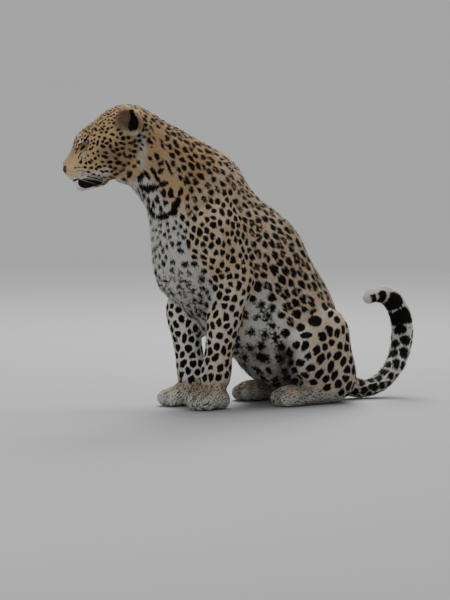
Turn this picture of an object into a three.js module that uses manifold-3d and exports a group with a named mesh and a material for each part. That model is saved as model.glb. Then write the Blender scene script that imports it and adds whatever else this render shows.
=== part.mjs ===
import * as THREE from 'three';
import { mergeVertices } from 'three/addons/utils/BufferGeometryUtils.js';
import Module from 'manifold-3d';

// A sitting leopard at life size, in millimetres: X to its left, Y to its tail, Z up.
// Each part is a closed skin found by sending rays out from a curve inside it
// to the edge of a smooth field, which is a blend of named muscles.

const wasm = await Module();
wasm.setup();

const V = (x, y, z) => new THREE.Vector3(x, y, z);

// Driving sizes
const GAP = 0.3; // clear space between neighbouring parts
const FIT = 0.6; // how far a part is grown to cut its seat in a neighbour
const HEAD_PITCH = THREE.MathUtils.degToRad(28); // nose down
const HEAD_ROLL = THREE.MathUtils.degToRad(-3); // left ear up
const HEAD_TURN = THREE.MathUtils.degToRad(-30); // nose towards its right
const NOSE_TIP = V(-103, -335, 614);
const PAW_SPLAY = THREE.MathUtils.degToRad(20); // toes turned outwards
const WRIST_CUT = 66; // height where the forepaw ends
const ELBOW_CUT = 318; // height where the upper foreleg ends
const EYE_RADIUS = 14.5;
const EYE_CENTRE = V(34, 91, 31); // left eye, in the head's own frame

// Colours of the coat where each part shows most
const COAT = {
  gold: { color: 0xc49a5f, roughness: 0.85, metalness: 0 },
  cream: { color: 0xd8cbb2, roughness: 0.88, metalness: 0 },
  pale: { color: 0xb9ab92, roughness: 0.88, metalness: 0 },
  dark: { color: 0x2a2523, roughness: 0.8, metalness: 0 },
  nose: { color: 0x1d1512, roughness: 0.45, metalness: 0 },
  eye: { color: 0x8a7a3c, roughness: 0.08, metalness: 0 },
};

// Fields: negative inside, near to the distance in millimetres outside

const lump = (centre, half) => (p) => {
  const x = (p.x - centre.x) / half.x;
  const y = (p.y - centre.y) / half.y;
  const z = (p.z - centre.z) / half.z;
  const near = Math.hypot(x, y, z);
  const far = Math.hypot(x / half.x, y / half.y, z / half.z);
  return far === 0 ? -Math.min(half.x, half.y, half.z) : (near * (near - 1)) / far;
};

// A tapered round rod from a to b; flat under 1 squeezes it sideways
const rod = (a, b, radiusA, radiusB, flat = 1) => {
  const ax = a.x / flat;
  const dx = b.x / flat - ax;
  const dy = b.y - a.y;
  const dz = b.z - a.z;
  const lengthSq = dx * dx + dy * dy + dz * dz;
  return (p) => {
    const qx = p.x / flat - ax;
    const qy = p.y - a.y;
    const qz = p.z - a.z;
    const t = THREE.MathUtils.clamp((qx * dx + qy * dy + qz * dz) / lengthSq, 0, 1);
    const radius = radiusA + (radiusB - radiusA) * t;
    return Math.hypot(qx - dx * t, qy - dy * t, qz - dz * t) - radius;
  };
};

const blend = (soft, ...parts) => (p) => {
  let sum = parts[0](p);
  for (let i = 1; i < parts.length; i += 1) {
    const other = parts[i](p);
    const overlap = Math.max(soft - Math.abs(sum - other), 0) / soft;
    sum = Math.min(sum, other) - (overlap * overlap * soft) / 4;
  }
  return sum;
};

const below = (height) => (p) => p.z - height;
const above = (height) => (p) => height - p.z;
const clip = (...fields) => (p) => Math.max(...fields.map((field) => field(p)));
const mirrored = (point, side) => V(point.x * side, point.y, point.z);

const FLOOR = above(0);

// Closed skin of a field round a curve through the points of its spine

const RAY_STEP = 2.5;
const RAY_LIMIT = 420;
const HALVINGS = 18; // steps that close in on the edge of the field

const reach = (field, origin, way) => {
  const p = V(0, 0, 0);
  const at = (t) => field(p.copy(origin).addScaledVector(way, t));
  let inside = 0;
  let outside = RAY_STEP;
  while (at(outside) < 0 && outside < RAY_LIMIT) {
    inside = outside;
    outside += RAY_STEP;
  }
  for (let i = 0; i < HALVINGS; i += 1) {
    const middle = (inside + outside) / 2;
    if (at(middle) < 0) inside = middle;
    else outside = middle;
  }
  return V(0, 0, 0).copy(origin).addScaledVector(way, outside);
};

const skinOf = (field, spine, { rings, around, cap, side = V(1, 0, 0) }) => {
  const curve = new THREE.CatmullRomCurve3(spine, false, 'centripetal');
  const loops = [];
  const addLoop = (origin, tangent, lean) => {
    const across = side.clone().addScaledVector(tangent, -side.dot(tangent)).normalize();
    const up = tangent.clone().cross(across);
    const loop = [];
    for (let j = 0; j < around; j += 1) {
      const angle = (2 * Math.PI * j) / around;
      const flat = across.clone().multiplyScalar(Math.cos(angle)).addScaledVector(up, Math.sin(angle));
      const way = flat.multiplyScalar(Math.cos(lean)).addScaledVector(tangent, Math.sin(lean));
      loop.push(reach(field, origin, way.normalize()));
    }
    loops.push(loop);
  };
  const stations = Array.from({ length: rings }, (_, i) => i / (rings - 1));
  const start = curve.getPointAt(0);
  const end = curve.getPointAt(1);
  const startWay = curve.getTangentAt(0);
  const endWay = curve.getTangentAt(1);
  for (let c = cap; c > 0; c -= 1) addLoop(start, startWay, (-Math.PI / 2) * (c / (cap + 1)));
  stations.forEach((t) => addLoop(curve.getPointAt(t), curve.getTangentAt(t), 0));
  for (let c = 1; c <= cap; c += 1) addLoop(end, endWay, (Math.PI / 2) * (c / (cap + 1)));
  const first = reach(field, start, startWay.clone().negate());
  const last = reach(field, end, endWay);
  const points = [first, ...loops.flat(), last];
  const faces = [];
  const at = (i, j) => 1 + i * around + (j % around);
  for (let j = 0; j < around; j += 1) {
    faces.push(0, at(0, j + 1), at(0, j));
    faces.push(points.length - 1, at(loops.length - 1, j), at(loops.length - 1, j + 1));
  }
  for (let i = 0; i + 1 < loops.length; i += 1) {
    for (let j = 0; j < around; j += 1) {
      faces.push(at(i, j), at(i, j + 1), at(i + 1, j + 1));
      faces.push(at(i, j), at(i + 1, j + 1), at(i + 1, j));
    }
  }
  const geometry = new THREE.BufferGeometry().setFromPoints(points);
  geometry.setIndex(faces);
  geometry.computeVertexNormals();
  return geometry;
};

// The same skin moved outwards by the fit, to cut a seat with
const grown = (skin) => {
  const position = skin.attributes.position.clone();
  const normal = skin.attributes.normal;
  const p = V(0, 0, 0);
  const n = V(0, 0, 0);
  for (let i = 0; i < position.count; i += 1) {
    p.fromBufferAttribute(position, i).addScaledVector(n.fromBufferAttribute(normal, i), FIT);
    position.setXYZ(i, p.x, p.y, p.z);
  }
  return skin.clone().setAttribute('position', position);
};

// Joining and cutting of closed meshes

const WELD = 1e-4; // corners nearer than this are one

const solid = (geometry) => {
  const bare = geometry.clone();
  bare.deleteAttribute('normal');
  bare.deleteAttribute('uv');
  const merged = mergeVertices(bare, WELD);
  const mesh = new wasm.Mesh({
    numProp: 3,
    vertProperties: new Float32Array(merged.attributes.position.array),
    triVerts: new Uint32Array(merged.index.array),
  });
  return new wasm.Manifold(mesh);
};

// The largest closed body of a solid, as a three.js geometry
const faceted = (body) => {
  const pieces = body.decompose().sort((a, b) => b.volume() - a.volume());
  const mesh = pieces[0].getMesh();
  const geometry = new THREE.BufferGeometry();
  geometry.setAttribute('position', new THREE.BufferAttribute(mesh.vertProperties.slice(), 3));
  geometry.setIndex(new THREE.BufferAttribute(mesh.triVerts.slice(), 1));
  geometry.computeVertexNormals();
  return geometry;
};

// Everything on the far side of a plane, as a block to cut with
const BLOCK = 1600;
const farSide = (point, normal) => {
  const block = new THREE.BoxGeometry(BLOCK, BLOCK, BLOCK);
  block.translate(0, 0, BLOCK / 2);
  block.applyQuaternion(new THREE.Quaternion().setFromUnitVectors(V(0, 0, 1), normal));
  block.translate(point.x, point.y, point.z);
  return solid(block);
};

// Keeps the side of a plane that its normal points away from, less half a gap
const trim = (body, point, normal) => {
  const edge = point.clone().addScaledVector(normal, -GAP / 2);
  return body.subtract(farSide(edge, normal));
};

const leopard = new THREE.Group();
const head = new THREE.Group();
head.rotation.set(HEAD_PITCH, HEAD_ROLL, HEAD_TURN, 'ZXY');
leopard.add(head);

const addPart = (name, body, finish, parent = leopard) => {
  const mesh = new THREE.Mesh(faceted(body), new THREE.MeshStandardMaterial(finish));
  mesh.name = name;
  parent.add(mesh);
  return mesh;
};

// The head's own frame has its origin at the nose tip, Y back and Z up
head.position.copy(NOSE_TIP);
head.updateMatrix();
const toBody = head.matrix;
const toHead = head.matrix.clone().invert();
const headPoint = (x, y, z) => V(x, y, z).applyMatrix4(toBody);
const inHead = (field) => (p) => field(p.clone().applyMatrix4(toBody));
const inBody = (field) => (p) => field(p.clone().applyMatrix4(toHead));

// Torso and neck

const NECK_BASE = V(0, 20, 556);
const NECK_TOP = headPoint(0, 180, -9);
const CHEST_CUT = { point: V(0, -45, 560), normal: V(0, -0.72, 0.69).normalize() };
const BELLY_CUT = { point: V(0, 150, 345), normal: V(0, -0.66, 0.75).normalize() };
const NAPE_CUT = { point: headPoint(0, 176, -42), normal: V(-0.3, -0.72, 0.62).normalize() };

const neckField = blend(
  34,
  rod(NECK_BASE, NECK_TOP, 106, 90, 0.75),
  rod(V(0, -34, 480), V(-22, -94, 606), 86, 75, 0.84),
);

const chestField = blend(
  40,
  rod(V(0, 12, 530), V(0, 64, 436), 103, 138, 0.65),
  rod(V(0, 64, 436), V(0, 160, 352), 138, 142, 0.69),
  lump(V(0, -50, 404), V(80, 76, 134)),
  rod(V(0, -28, 350), V(0, 110, 225), 74, 92, 0.82),
);

const bellyField = blend(
  40,
  rod(V(0, 160, 352), V(0, 248, 222), 144, 135, 0.74),
  rod(V(0, 248, 222), V(0, 342, 106), 135, 109, 0.84),
  lump(V(0, 218, 158), V(98, 98, 112)),
);

const HEAD_SOFT = 18;

// Head: halves are given for the left side and mirrored
const pair = (make) => blend(10, make(1), make(-1));

const skullField = blend(
  HEAD_SOFT,
  lump(V(0, 142, 14), V(62, 70, 51)),
  lump(V(0, 96, 20), V(46, 48, 45)),
  lump(V(0, 92, -18), V(50, 62, 56)),
  pair((s) => lump(V(46 * s, 116, -8), V(30, 48, 40))),
  pair((s) => lump(V(38 * s, 128, -52), V(30, 44, 36))),
);

const faceField = blend(
  12,
  skullField,
  rod(V(0, 80, 20), V(0, 23, 0), 33, 21, 0.94),
  rod(V(0, 84, -18), V(0, 40, -14), 44, 34, 1),
  pair((s) => lump(V(21 * s, 32, -22), V(25, 31, 22))),
  rod(V(0, 26, -55), V(0, 100, -58), 20, 31, 1.35),
  pair((s) => lump(V(30 * s, 92, 43), V(20, 21, 12))),
  pair((s) => lump(V(33 * s, 78, -4), V(21, 36, 26))),
);

const neckAndHead = blend(38, neckField, inBody(skullField));
const trunkField = clip(blend(44, chestField, bellyField, neckAndHead), FLOOR);
const headField = blend(9, inHead(blend(44, chestField, neckAndHead)), faceField);

// Legs

const shoulderOf = (side, elbow, mid, wrist) => blend(
  22,
  rod(V(44 * side, 52, 562), V(76 * side, -14, 450), 42, 64, 0.64),
  rod(V(78 * side, -14, 440), elbow, 66, 50, 0.68),
  rod(V(72 * side, 42, 460), V(elbow.x, elbow.y + 14, elbow.z + 22), 56, 42, 0.66),
  rod(elbow, mid, 49, 42, 0.86),
  rod(mid, wrist, 42, 37, 0.9),
  lump(V(wrist.x, wrist.y + 2, wrist.z), V(36, 40, 30)),
);

const forelegs = [
  { side: 1, name: 'left', elbow: V(80, 66, 330), mid: V(64, 38, 222), wrist: V(50, 22, 84) },
  { side: -1, name: 'right', elbow: V(-82, 26, 330), mid: V(-66, -8, 240), wrist: V(-50, 12, 84) },
];

// A forepaw in its own frame: wrist over the origin, toes towards -Y
const TOES = [
  { x: -28, tip: -56, radius: 20 },
  { x: -10, tip: -69, radius: 22 },
  { x: 10, tip: -69, radius: 22 },
  { x: 28, tip: -56, radius: 20 },
];
const TOE_ROOT = V(0.9, -22, 36);
const TOE_FLAT = 0.6; // toes are taller than wide

const pawField = blend(
  4,
  blend(20, lump(V(0, -14, 29), V(38, 44, 33)), lump(V(0, 4, 19), V(34, 34, 24))),
  ...TOES.map((toe) => rod(
    V(toe.x * TOE_ROOT.x, TOE_ROOT.y, TOE_ROOT.z),
    V(toe.x, toe.tip, toe.radius - 2),
    22,
    toe.radius,
    TOE_FLAT,
  )),
);

const turned = (field, origin, angle) => {
  const cos = Math.cos(angle);
  const sin = Math.sin(angle);
  return (p) => {
    const x = p.x - origin.x;
    const y = p.y - origin.y;
    return field(V(x * cos + y * sin, y * cos - x * sin, p.z));
  };
};

const legSolids = [];

forelegs.forEach(({ side, name, elbow, mid, wrist }) => {
  const leg = shoulderOf(side, elbow, mid, wrist);
  const paw = turned(pawField, wrist, PAW_SPLAY * side);
  const whole = blend(16, leg, paw);
  const spine = [
    V(50 * side, 46, 556), V(72 * side, 8, 466), V(elbow.x, elbow.y - 6, elbow.z + 16),
    mid, V(wrist.x, wrist.y, WRIST_CUT + 6),
  ];
  const legField = clip(whole, above(WRIST_CUT - 16));
  const detail = { rings: 18, around: 16, cap: 3 };
  const legSkin = skinOf(legField, spine, detail);
  const legSolid = solid(legSkin);
  legSolids.push(solid(grown(legSkin)));
  const elbowCut = V(elbow.x, elbow.y, ELBOW_CUT);
  const wristCut = V(wrist.x, wrist.y, WRIST_CUT);
  addPart(`shoulder_${name}`, trim(legSolid, elbowCut, V(0, 0, -1)), COAT.gold);
  const lower = trim(trim(legSolid, elbowCut, V(0, 0, 1)), wristCut, V(0, 0, -1));
  addPart(`foreleg_${name}`, lower, COAT.cream);

  const toeWay = V(Math.sin(PAW_SPLAY) * side, -Math.cos(PAW_SPLAY), 0);
  const pawSpine = [
    V(wrist.x, wrist.y, 34).addScaledVector(toeWay, -8),
    V(wrist.x, wrist.y, 24).addScaledVector(toeWay, 64),
  ];
  const pawSkin = skinOf(
    clip(whole, FLOOR, below(WRIST_CUT + 10)),
    pawSpine,
    { rings: 6, around: 30, cap: 5, side: V(toeWay.y, -toeWay.x, 0) },
  );
  addPart(`forepaw_${name}`, trim(solid(pawSkin), wristCut, V(0, 0, 1)), COAT.cream);
});

// Hind legs: the thigh holds the folded knee and shin, the foot lies flat under it

const hindlegs = [
  { side: 1, name: 'left', knee: V(102, 244, 160), heel: V(74, 366, 24), toes: V(88, 217, 22) },
  { side: -1, name: 'right', knee: V(-102, 216, 136), heel: V(-74, 356, 24), toes: V(-88, 205, 22) },
];

const HIND_TOES = [
  { x: -26, tip: -36, radius: 19 },
  { x: -9, tip: -46, radius: 21 },
  { x: 9, tip: -46, radius: 21 },
  { x: 26, tip: -36, radius: 19 },
];

hindlegs.forEach(({ side, name, knee, heel, toes }) => {
  const thighField = blend(
    26,
    lump(V(84 * side, 306, 160), V(48, 96, 106)),
    rod(V(76 * side, 318, 186), knee, 64, 44, 0.68),
    rod(knee, V(84 * side, 326, 46), 42, 38, 0.8),
    lump(V(76 * side, 368, 74), V(46, 54, 72)),
  );
  const footField = blend(
    4,
    blend(18, rod(heel, toes, 24, 27, 1.15), lump(toes, V(35, 34, 29))),
    ...HIND_TOES.map((toe) => rod(
      V(toes.x + toe.x * 0.8, toes.y, 31),
      V(toes.x + toe.x, toes.y + toe.tip + toe.radius - 4, toe.radius),
      21,
      toe.radius,
      TOE_FLAT,
    )),
  );
  const footClip = clip(footField, FLOOR);
  const footSpine = [V(heel.x, heel.y, 20), V(toes.x, toes.y - 14, 17)];
  const footDetail = { rings: 8, around: 28, cap: 5 };
  const footSkin = skinOf(footClip, footSpine, footDetail);
  const footSeat = solid(grown(footSkin));
  addPart(`hindfoot_${name}`, solid(footSkin), COAT.pale);
  const thighClip = clip(thighField, FLOOR);
  const thighSpine = [
    V(78 * side, 356, 92), V(86 * side, 308, 140), V(knee.x - 4 * side, knee.y + 14, knee.z - 8),
  ];
  const thighDetail = { rings: 10, around: 18, cap: 3 };
  const thighSkin = skinOf(thighClip, thighSpine, thighDetail);
  legSolids.push(solid(grown(thighSkin)), footSeat);
  addPart(`thigh_${name}`, solid(thighSkin).subtract(footSeat), COAT.gold);
});

// Trunk pieces, seated round the legs

const seated = (skin) => legSolids.reduce((body, leg) => body.subtract(leg), solid(skin));

const past = (cut, room) => (p) => p.clone().sub(cut.point).dot(cut.normal) - room;
const before = (cut, room) => (p) => -p.clone().sub(cut.point).dot(cut.normal) - room;
const SPARE = 70; // extra length that is trimmed off at a cut

const backwards = (normal) => normal.clone().negate();

const HIPS_SPINE = [V(0, 328, 118), V(0, 244, 210), V(0, 146, 350), V(0, 108, 390)];
const HIPS_DETAIL = { rings: 12, around: 22, cap: 3 };
const hipsSkin = skinOf(clip(trunkField, past(BELLY_CUT, SPARE)), HIPS_SPINE, HIPS_DETAIL);
const hips = seated(hipsSkin);
addPart('hips', trim(hips, BELLY_CUT.point, BELLY_CUT.normal), COAT.gold);

const chest = seated(skinOf(
  clip(trunkField, before(BELLY_CUT, SPARE), past(CHEST_CUT, SPARE)),
  [V(0, 185, 305), V(0, 146, 352), V(0, 50, 445), V(-2, -32, 545), V(-6, -70, 590)],
  { rings: 13, around: 22, cap: 2 },
));
addPart(
  'chest',
  trim(trim(chest, BELLY_CUT.point, backwards(BELLY_CUT.normal)), CHEST_CUT.point, CHEST_CUT.normal),
  COAT.gold,
);

const neck = seated(skinOf(
  clip(trunkField, before(CHEST_CUT, SPARE), past(NAPE_CUT, SPARE)),
  [V(0, -2, 520), V(-4, -50, 580), V(-14, -110, 634), headPoint(0, 172, -50), headPoint(0, 150, -16)],
  { rings: 11, around: 22, cap: 2 },
));
addPart(
  'neck',
  trim(trim(neck, CHEST_CUT.point, backwards(CHEST_CUT.normal)), NAPE_CUT.point, NAPE_CUT.normal),
  COAT.gold,
);

// Head, with its sockets, lids and mouth line cut in its own frame

const napePoint = NAPE_CUT.point.clone().applyMatrix4(toHead);
const napeNormal = NAPE_CUT.normal.clone().transformDirection(toHead);
const napeClip = (p) => -p.clone().sub(napePoint).dot(napeNormal) - SPARE;

const HEAD_SPINE = [V(0, 168, 2), V(0, 92, -8), V(0, 34, -18)];
const HEAD_DETAIL = { rings: 15, around: 32, cap: 6 };
const headSkin = skinOf(clip(headField, napeClip), HEAD_SPINE, HEAD_DETAIL);
let headSolid = trim(solid(headSkin), napePoint, backwards(napeNormal));

const headGrown = solid(grown(headSkin));

// An ellipsoid turned so that its Y half lies along one way and its Z half along another
const egg = (centre, half, yWay, zWay, across, down) => {
  const z = zWay.clone().addScaledVector(yWay, -zWay.dot(yWay) / yWay.lengthSq()).normalize();
  const y = yWay.clone().normalize();
  const basis = new THREE.Matrix4().makeBasis(y.clone().cross(z), y, z);
  const geometry = new THREE.SphereGeometry(1, across, down);
  geometry.scale(half.x, half.y, half.z);
  geometry.applyMatrix4(basis);
  geometry.translate(centre.x, centre.y, centre.z);
  return solid(geometry);
};

// Eyes in sockets behind lids, which leave an almond of the eyeball open
const GAZE = V(0.62, -0.76, -0.18);
const LID_SLANT = V(-0.05, -0.33, 0.94); // up across the eye, whose outer corner is the higher
const LID = 3.2; // thickness of the lids over the eyeball
const EYE_OPENING = V(16.5, 9, 4.6); // half closed
const EAR_ROOT = V(57, 195, -4);
const EAR_RISE = V(0.2, 0.42, 0.88);
const EAR_OPENS = V(0.84, -0.54, 0.06);
const EAR = { half: V(39, 24, 38), wall: 5, forward: 14, sunk: 4 };
const sided = (side, name) => `${name}_${side > 0 ? 'left' : 'right'}`;

[1, -1].forEach((side) => {
  const flip = (v) => mirrored(v, side);
  const centre = flip(EYE_CENTRE);
  const gaze = flip(GAZE).normalize();
  const slant = flip(LID_SLANT);
  const eyeHalf = (extra) => V(1, 1, 1).multiplyScalar(EYE_RADIUS + extra);
  const lid = egg(centre, eyeHalf(LID), gaze, slant, 16, 10);
  const seat = egg(centre, eyeHalf(FIT), gaze, slant, 14, 10);
  const slit = egg(
    centre.clone().addScaledVector(gaze, EYE_RADIUS), EYE_OPENING, gaze, slant, 10, 6,
  );
  headSolid = headSolid.add(lid).subtract(seat).subtract(slit);
  addPart(sided(side, 'eye'), egg(centre, eyeHalf(0), gaze, slant, 14, 10), COAT.eye, head);

  const rise = flip(EAR_RISE).normalize();
  const opens = flip(EAR_OPENS).normalize();
  const middle = flip(EAR_ROOT).addScaledVector(rise, EAR.half.z - EAR.sunk);
  const shell = egg(middle, EAR.half, opens, rise, 14, 9);
  const cupHalf = V(EAR.half.x - EAR.wall, EAR.half.y, EAR.half.z - EAR.wall);
  const cup = egg(middle.clone().addScaledVector(opens, EAR.forward), cupHalf, opens, rise, 14, 9);
  addPart(sided(side, 'ear'), shell.subtract(cup).subtract(headGrown), COAT.gold, head);
});

// Mouth line: a thin groove along the lips, found on the skin at each place
const LIPS = [
  V(0, 40, -35), V(16, 38, -38), V(34, 36, -40), V(44, 44, -44), V(46, 60, -50), V(46, 74, -58),
];
const MOUTH_WAYS = [V(0, -1, 0), V(0.42, -0.9, 0), V(0.8, -0.6, 0), V(1, 0, 0), V(1, 0, 0), V(1, 0, 0)];
const GROOVE = 2.2;

const lipPoints = LIPS.map((point, i) => (
  reach(headField, V(0, point.y, point.z), MOUTH_WAYS[i].clone().normalize())
));
const grooveSection = new THREE.Shape([
  new THREE.Vector2(GROOVE, 0), new THREE.Vector2(0, GROOVE),
  new THREE.Vector2(-GROOVE, 0), new THREE.Vector2(0, -GROOVE),
]);
const mouthPath = new THREE.CatmullRomCurve3([
  ...lipPoints.slice(1).reverse().map((p) => mirrored(p, -1)), ...lipPoints,
]);
const mouth = new THREE.ExtrudeGeometry(grooveSection, {
  extrudePath: mouthPath, steps: 26, bevelEnabled: false,
});
headSolid = headSolid.subtract(solid(mouth));

// Nose pad with its nostrils, set against the end of the muzzle
const padField = blend(
  4,
  lump(V(0, 11, -4), V(20, 13, 11)),
  lump(V(0, 9, -13), V(9, 10, 12)),
);
const padDetail = { rings: 3, around: 12, cap: 2, side: V(0, 1, 0) };
const padSpine = [V(-8, 10, -5), V(8, 10, -5)];
const padSkin = skinOf(padField, padSpine, padDetail);
let pad = solid(padSkin);
[1, -1].forEach((side) => {
  const nostril = egg(V(11 * side, 2, -7), V(4.5, 8, 3), V(-0.3 * side, 1, 0), V(0, 0, 1), 8, 5);
  pad = pad.subtract(nostril);
});
headSolid = headSolid.subtract(solid(grown(padSkin)));
addPart('nose', pad, COAT.nose, head);
addPart('head', headSolid, COAT.gold, head);

// Tail: leaves the rump along the floor, then rises and curls forward at the tip
const TAIL_PATH = [
  { at: V(0, 400, 62), radius: 30 },
  { at: V(4, 446, 34), radius: 27 },
  { at: V(10, 489, 22), radius: 24.5 },
  { at: V(12, 529, 34), radius: 23 },
  { at: V(5, 565, 58), radius: 24.5 },
  { at: V(-10, 599, 89), radius: 26 },
  { at: V(-25, 621, 128), radius: 28 },
  { at: V(-35, 631, 168), radius: 29 },
  { at: V(-40, 627, 211), radius: 28.5 },
  { at: V(-40, 607, 243), radius: 27 },
  { at: V(-35, 576, 262), radius: 24 },
  { at: V(-28, 541, 263), radius: 20.5 },
  { at: V(-22, 520, 255), radius: 17 },
];
const TAIL_LENGTHS = [
  { name: 'tail_root', from: 0, to: 0.36 },
  { name: 'tail_middle', from: 0.36, to: 0.58 },
  { name: 'tail_upper', from: 0.58, to: 0.8 },
  { name: 'tail_tip', from: 0.8, to: 1 },
];
const TAIL_OVERRUN = 0.05; // share of the tail past each cut, trimmed off
const TAIL_POINTS = 8;
const TAIL_DETAIL = { rings: 8, around: 12, cap: 2, side: V(1, -0.4, 0) };
const tailCurve = new THREE.CatmullRomCurve3(TAIL_PATH.map((stop) => stop.at), false, 'centripetal');
const tailField = blend(
  8,
  ...TAIL_PATH.slice(1).map((stop, i) => (
    rod(TAIL_PATH[i].at, stop.at, TAIL_PATH[i].radius, stop.radius)
  )),
);
TAIL_LENGTHS.forEach(({ name, from, to }) => {
  const first = Math.max(from - TAIL_OVERRUN, 0);
  const last = Math.min(to + TAIL_OVERRUN, 1);
  const spine = Array.from({ length: TAIL_POINTS }, (_, i) => (
    tailCurve.getPointAt(first + ((last - first) * i) / (TAIL_POINTS - 1))
  ));
  const skin = skinOf(clip(tailField, FLOOR), spine, TAIL_DETAIL);
  let length = solid(skin);
  if (from > 0) {
    length = trim(length, tailCurve.getPointAt(from), backwards(tailCurve.getTangentAt(from)));
  } else {
    length = legSolids.reduce((body, leg) => body.subtract(leg), length.subtract(solid(grown(hipsSkin))));
  }
  if (to < 1) length = trim(length, tailCurve.getPointAt(to), tailCurve.getTangentAt(to));
  addPart(name, length, COAT.dark);
});

// The frame's origin is at the middle of the animal's box, on the floor
leopard.updateMatrixWorld(true);
const box = new THREE.Box3().setFromObject(leopard, true);
leopard.children.forEach((child) => {
  child.position.x -= (box.min.x + box.max.x) / 2;
  child.position.y -= (box.min.y + box.max.y) / 2;
  child.position.z -= box.min.z;
});

export default leopard;
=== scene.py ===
"""A sitting leopard: one skin over the flesh, a coat of tufts, eyes, nose and whiskers."""

import math

import bmesh
import bpy
import numpy as np
from mathutils import Matrix, Vector
from mathutils.bvhtree import BVHTree


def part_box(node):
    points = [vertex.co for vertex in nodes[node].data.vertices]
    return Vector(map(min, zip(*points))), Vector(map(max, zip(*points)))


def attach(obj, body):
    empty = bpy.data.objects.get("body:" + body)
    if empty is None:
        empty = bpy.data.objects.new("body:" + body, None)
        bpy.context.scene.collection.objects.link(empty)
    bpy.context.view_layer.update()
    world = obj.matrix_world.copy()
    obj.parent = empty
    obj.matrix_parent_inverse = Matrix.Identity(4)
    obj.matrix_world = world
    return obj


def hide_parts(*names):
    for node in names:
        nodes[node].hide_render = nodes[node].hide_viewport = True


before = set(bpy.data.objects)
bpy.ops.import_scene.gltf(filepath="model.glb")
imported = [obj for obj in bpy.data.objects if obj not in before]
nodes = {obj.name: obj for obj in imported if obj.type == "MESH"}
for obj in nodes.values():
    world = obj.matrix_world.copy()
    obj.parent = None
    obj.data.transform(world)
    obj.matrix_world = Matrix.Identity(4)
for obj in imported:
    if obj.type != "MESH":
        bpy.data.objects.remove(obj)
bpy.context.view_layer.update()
MM = 0.001
chance = np.random.default_rng(12)

# Places. The head's own frame has its origin at the nose tip, Y back and Z up, in millimetres.
# It is found from the two packed eyes, and the body's frame from the head's.

HEAD_PITCH = math.radians(28)
HEAD_ROLL = math.radians(-3)
HEAD_TURN = math.radians(-30)
EYE_CENTRE = Vector((34, 91, 31))
EYE_RADIUS = 14.5
NOSE_IN_BODY = Vector((-103, -335, 614))

head_axes = (
    Matrix.Rotation(HEAD_TURN, 3, "Z")
    @ Matrix.Rotation(HEAD_PITCH, 3, "X")
    @ Matrix.Rotation(HEAD_ROLL, 3, "Y")
)


def middle_of(name):
    low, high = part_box(name)
    return (low + high) / 2


eyes_middle = (middle_of("eye_left") + middle_of("eye_right")) / 2
between_eyes = Vector((0, EYE_CENTRE.y, EYE_CENTRE.z))
nose_tip = eyes_middle - head_axes @ between_eyes * MM
body_origin = nose_tip - NOSE_IN_BODY * MM


def on_head(point):
    """A point of the head's own frame, in metres in the row frame."""
    return nose_tip + head_axes @ Vector(point) * MM


def on_body(point):
    """A point in millimetres from the floor between the forelegs, in the row frame."""
    return body_origin + Vector(point) * MM


def head_coordinates(points):
    """Points of the row frame as millimetres in the head's own frame."""
    return (points - np.array(nose_tip)) @ np.array(head_axes) / MM


def body_coordinates(points):
    return (points - np.array(body_origin)) / MM


def folded(points):
    """Points with the right half laid on the left one."""
    return np.stack([np.abs(points[:, 0]), points[:, 1], points[:, 2]], 1)


# Camera: far off at the near side, a little above the animal

CAMERA_AZIMUTH = math.radians(60)
CAMERA_HEIGHT = math.radians(5)
CAMERA_DISTANCE = 20.0
MM_PER_PIXEL = 2.55
PICTURE = (450, 600)
SENSOR = 36.0
# Where the body's origin falls in the picture, in pixels from its left and top
ORIGIN_PIXEL = (198.0, 407.2)

camera_back = Vector((
    math.sin(CAMERA_AZIMUTH) * math.cos(CAMERA_HEIGHT),
    -math.cos(CAMERA_AZIMUTH) * math.cos(CAMERA_HEIGHT),
    math.sin(CAMERA_HEIGHT),
))
camera_right = Vector((math.cos(CAMERA_AZIMUTH), math.sin(CAMERA_AZIMUTH), 0))
camera_up = camera_back.cross(camera_right)


def seen_at(across, down):
    """The point in the plane of the body's origin that a pixel of the picture shows."""
    right = (across - ORIGIN_PIXEL[0]) * MM_PER_PIXEL
    up = (ORIGIN_PIXEL[1] - down) * MM_PER_PIXEL
    return on_body(camera_right * right + camera_up * up)


def facing(back):
    """The turn of a camera or light whose back looks along this way."""
    return back.to_track_quat("Z", "Y").to_euler()


def add_camera():
    data = bpy.data.cameras.new("camera")
    data.sensor_width = SENSOR
    data.sensor_fit = "AUTO"
    view_height = PICTURE[1] * MM_PER_PIXEL * MM
    data.lens = SENSOR * CAMERA_DISTANCE / view_height
    data.clip_end = 10 * CAMERA_DISTANCE
    camera = add_object("camera", data)
    target = seen_at(PICTURE[0] / 2, PICTURE[1] / 2)
    camera.location = target + camera_back * CAMERA_DISTANCE
    camera.rotation_euler = facing(camera_back)
    bpy.context.scene.camera = camera


# The skin: the flesh nodes joined, remeshed and smoothed, finer on the head

EYES = ("eye_left", "eye_right")
FLESH = [name for name in sorted(nodes) if name not in EYES + ("nose",)]
HEAD_FLESH = ("head", "ear_left", "ear_right", "neck")
BODY_GRID = 5.7 * MM
HEAD_GRID = 2.65 * MM
CLOSING = 0.7 * MM  # how far each node is swollen so that the thin gaps close
# Where the finer skin of the head meets the body's, and which way the neck runs there
NECK_RING = on_body((-12, -92, 628))
NECK_WAY = Vector((-0.3, -0.72, 0.62)).normalized()


def add_object(title, data):
    piece = bpy.data.objects.new(title, data)
    bpy.context.scene.collection.objects.link(piece)
    return piece


def deselect():
    if bpy.context.mode != "OBJECT":
        bpy.ops.object.mode_set(mode="OBJECT")
    bpy.ops.object.select_all(action="DESELECT")


def make_active(piece):
    deselect()
    piece.select_set(True)
    bpy.context.view_layer.objects.active = piece


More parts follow.
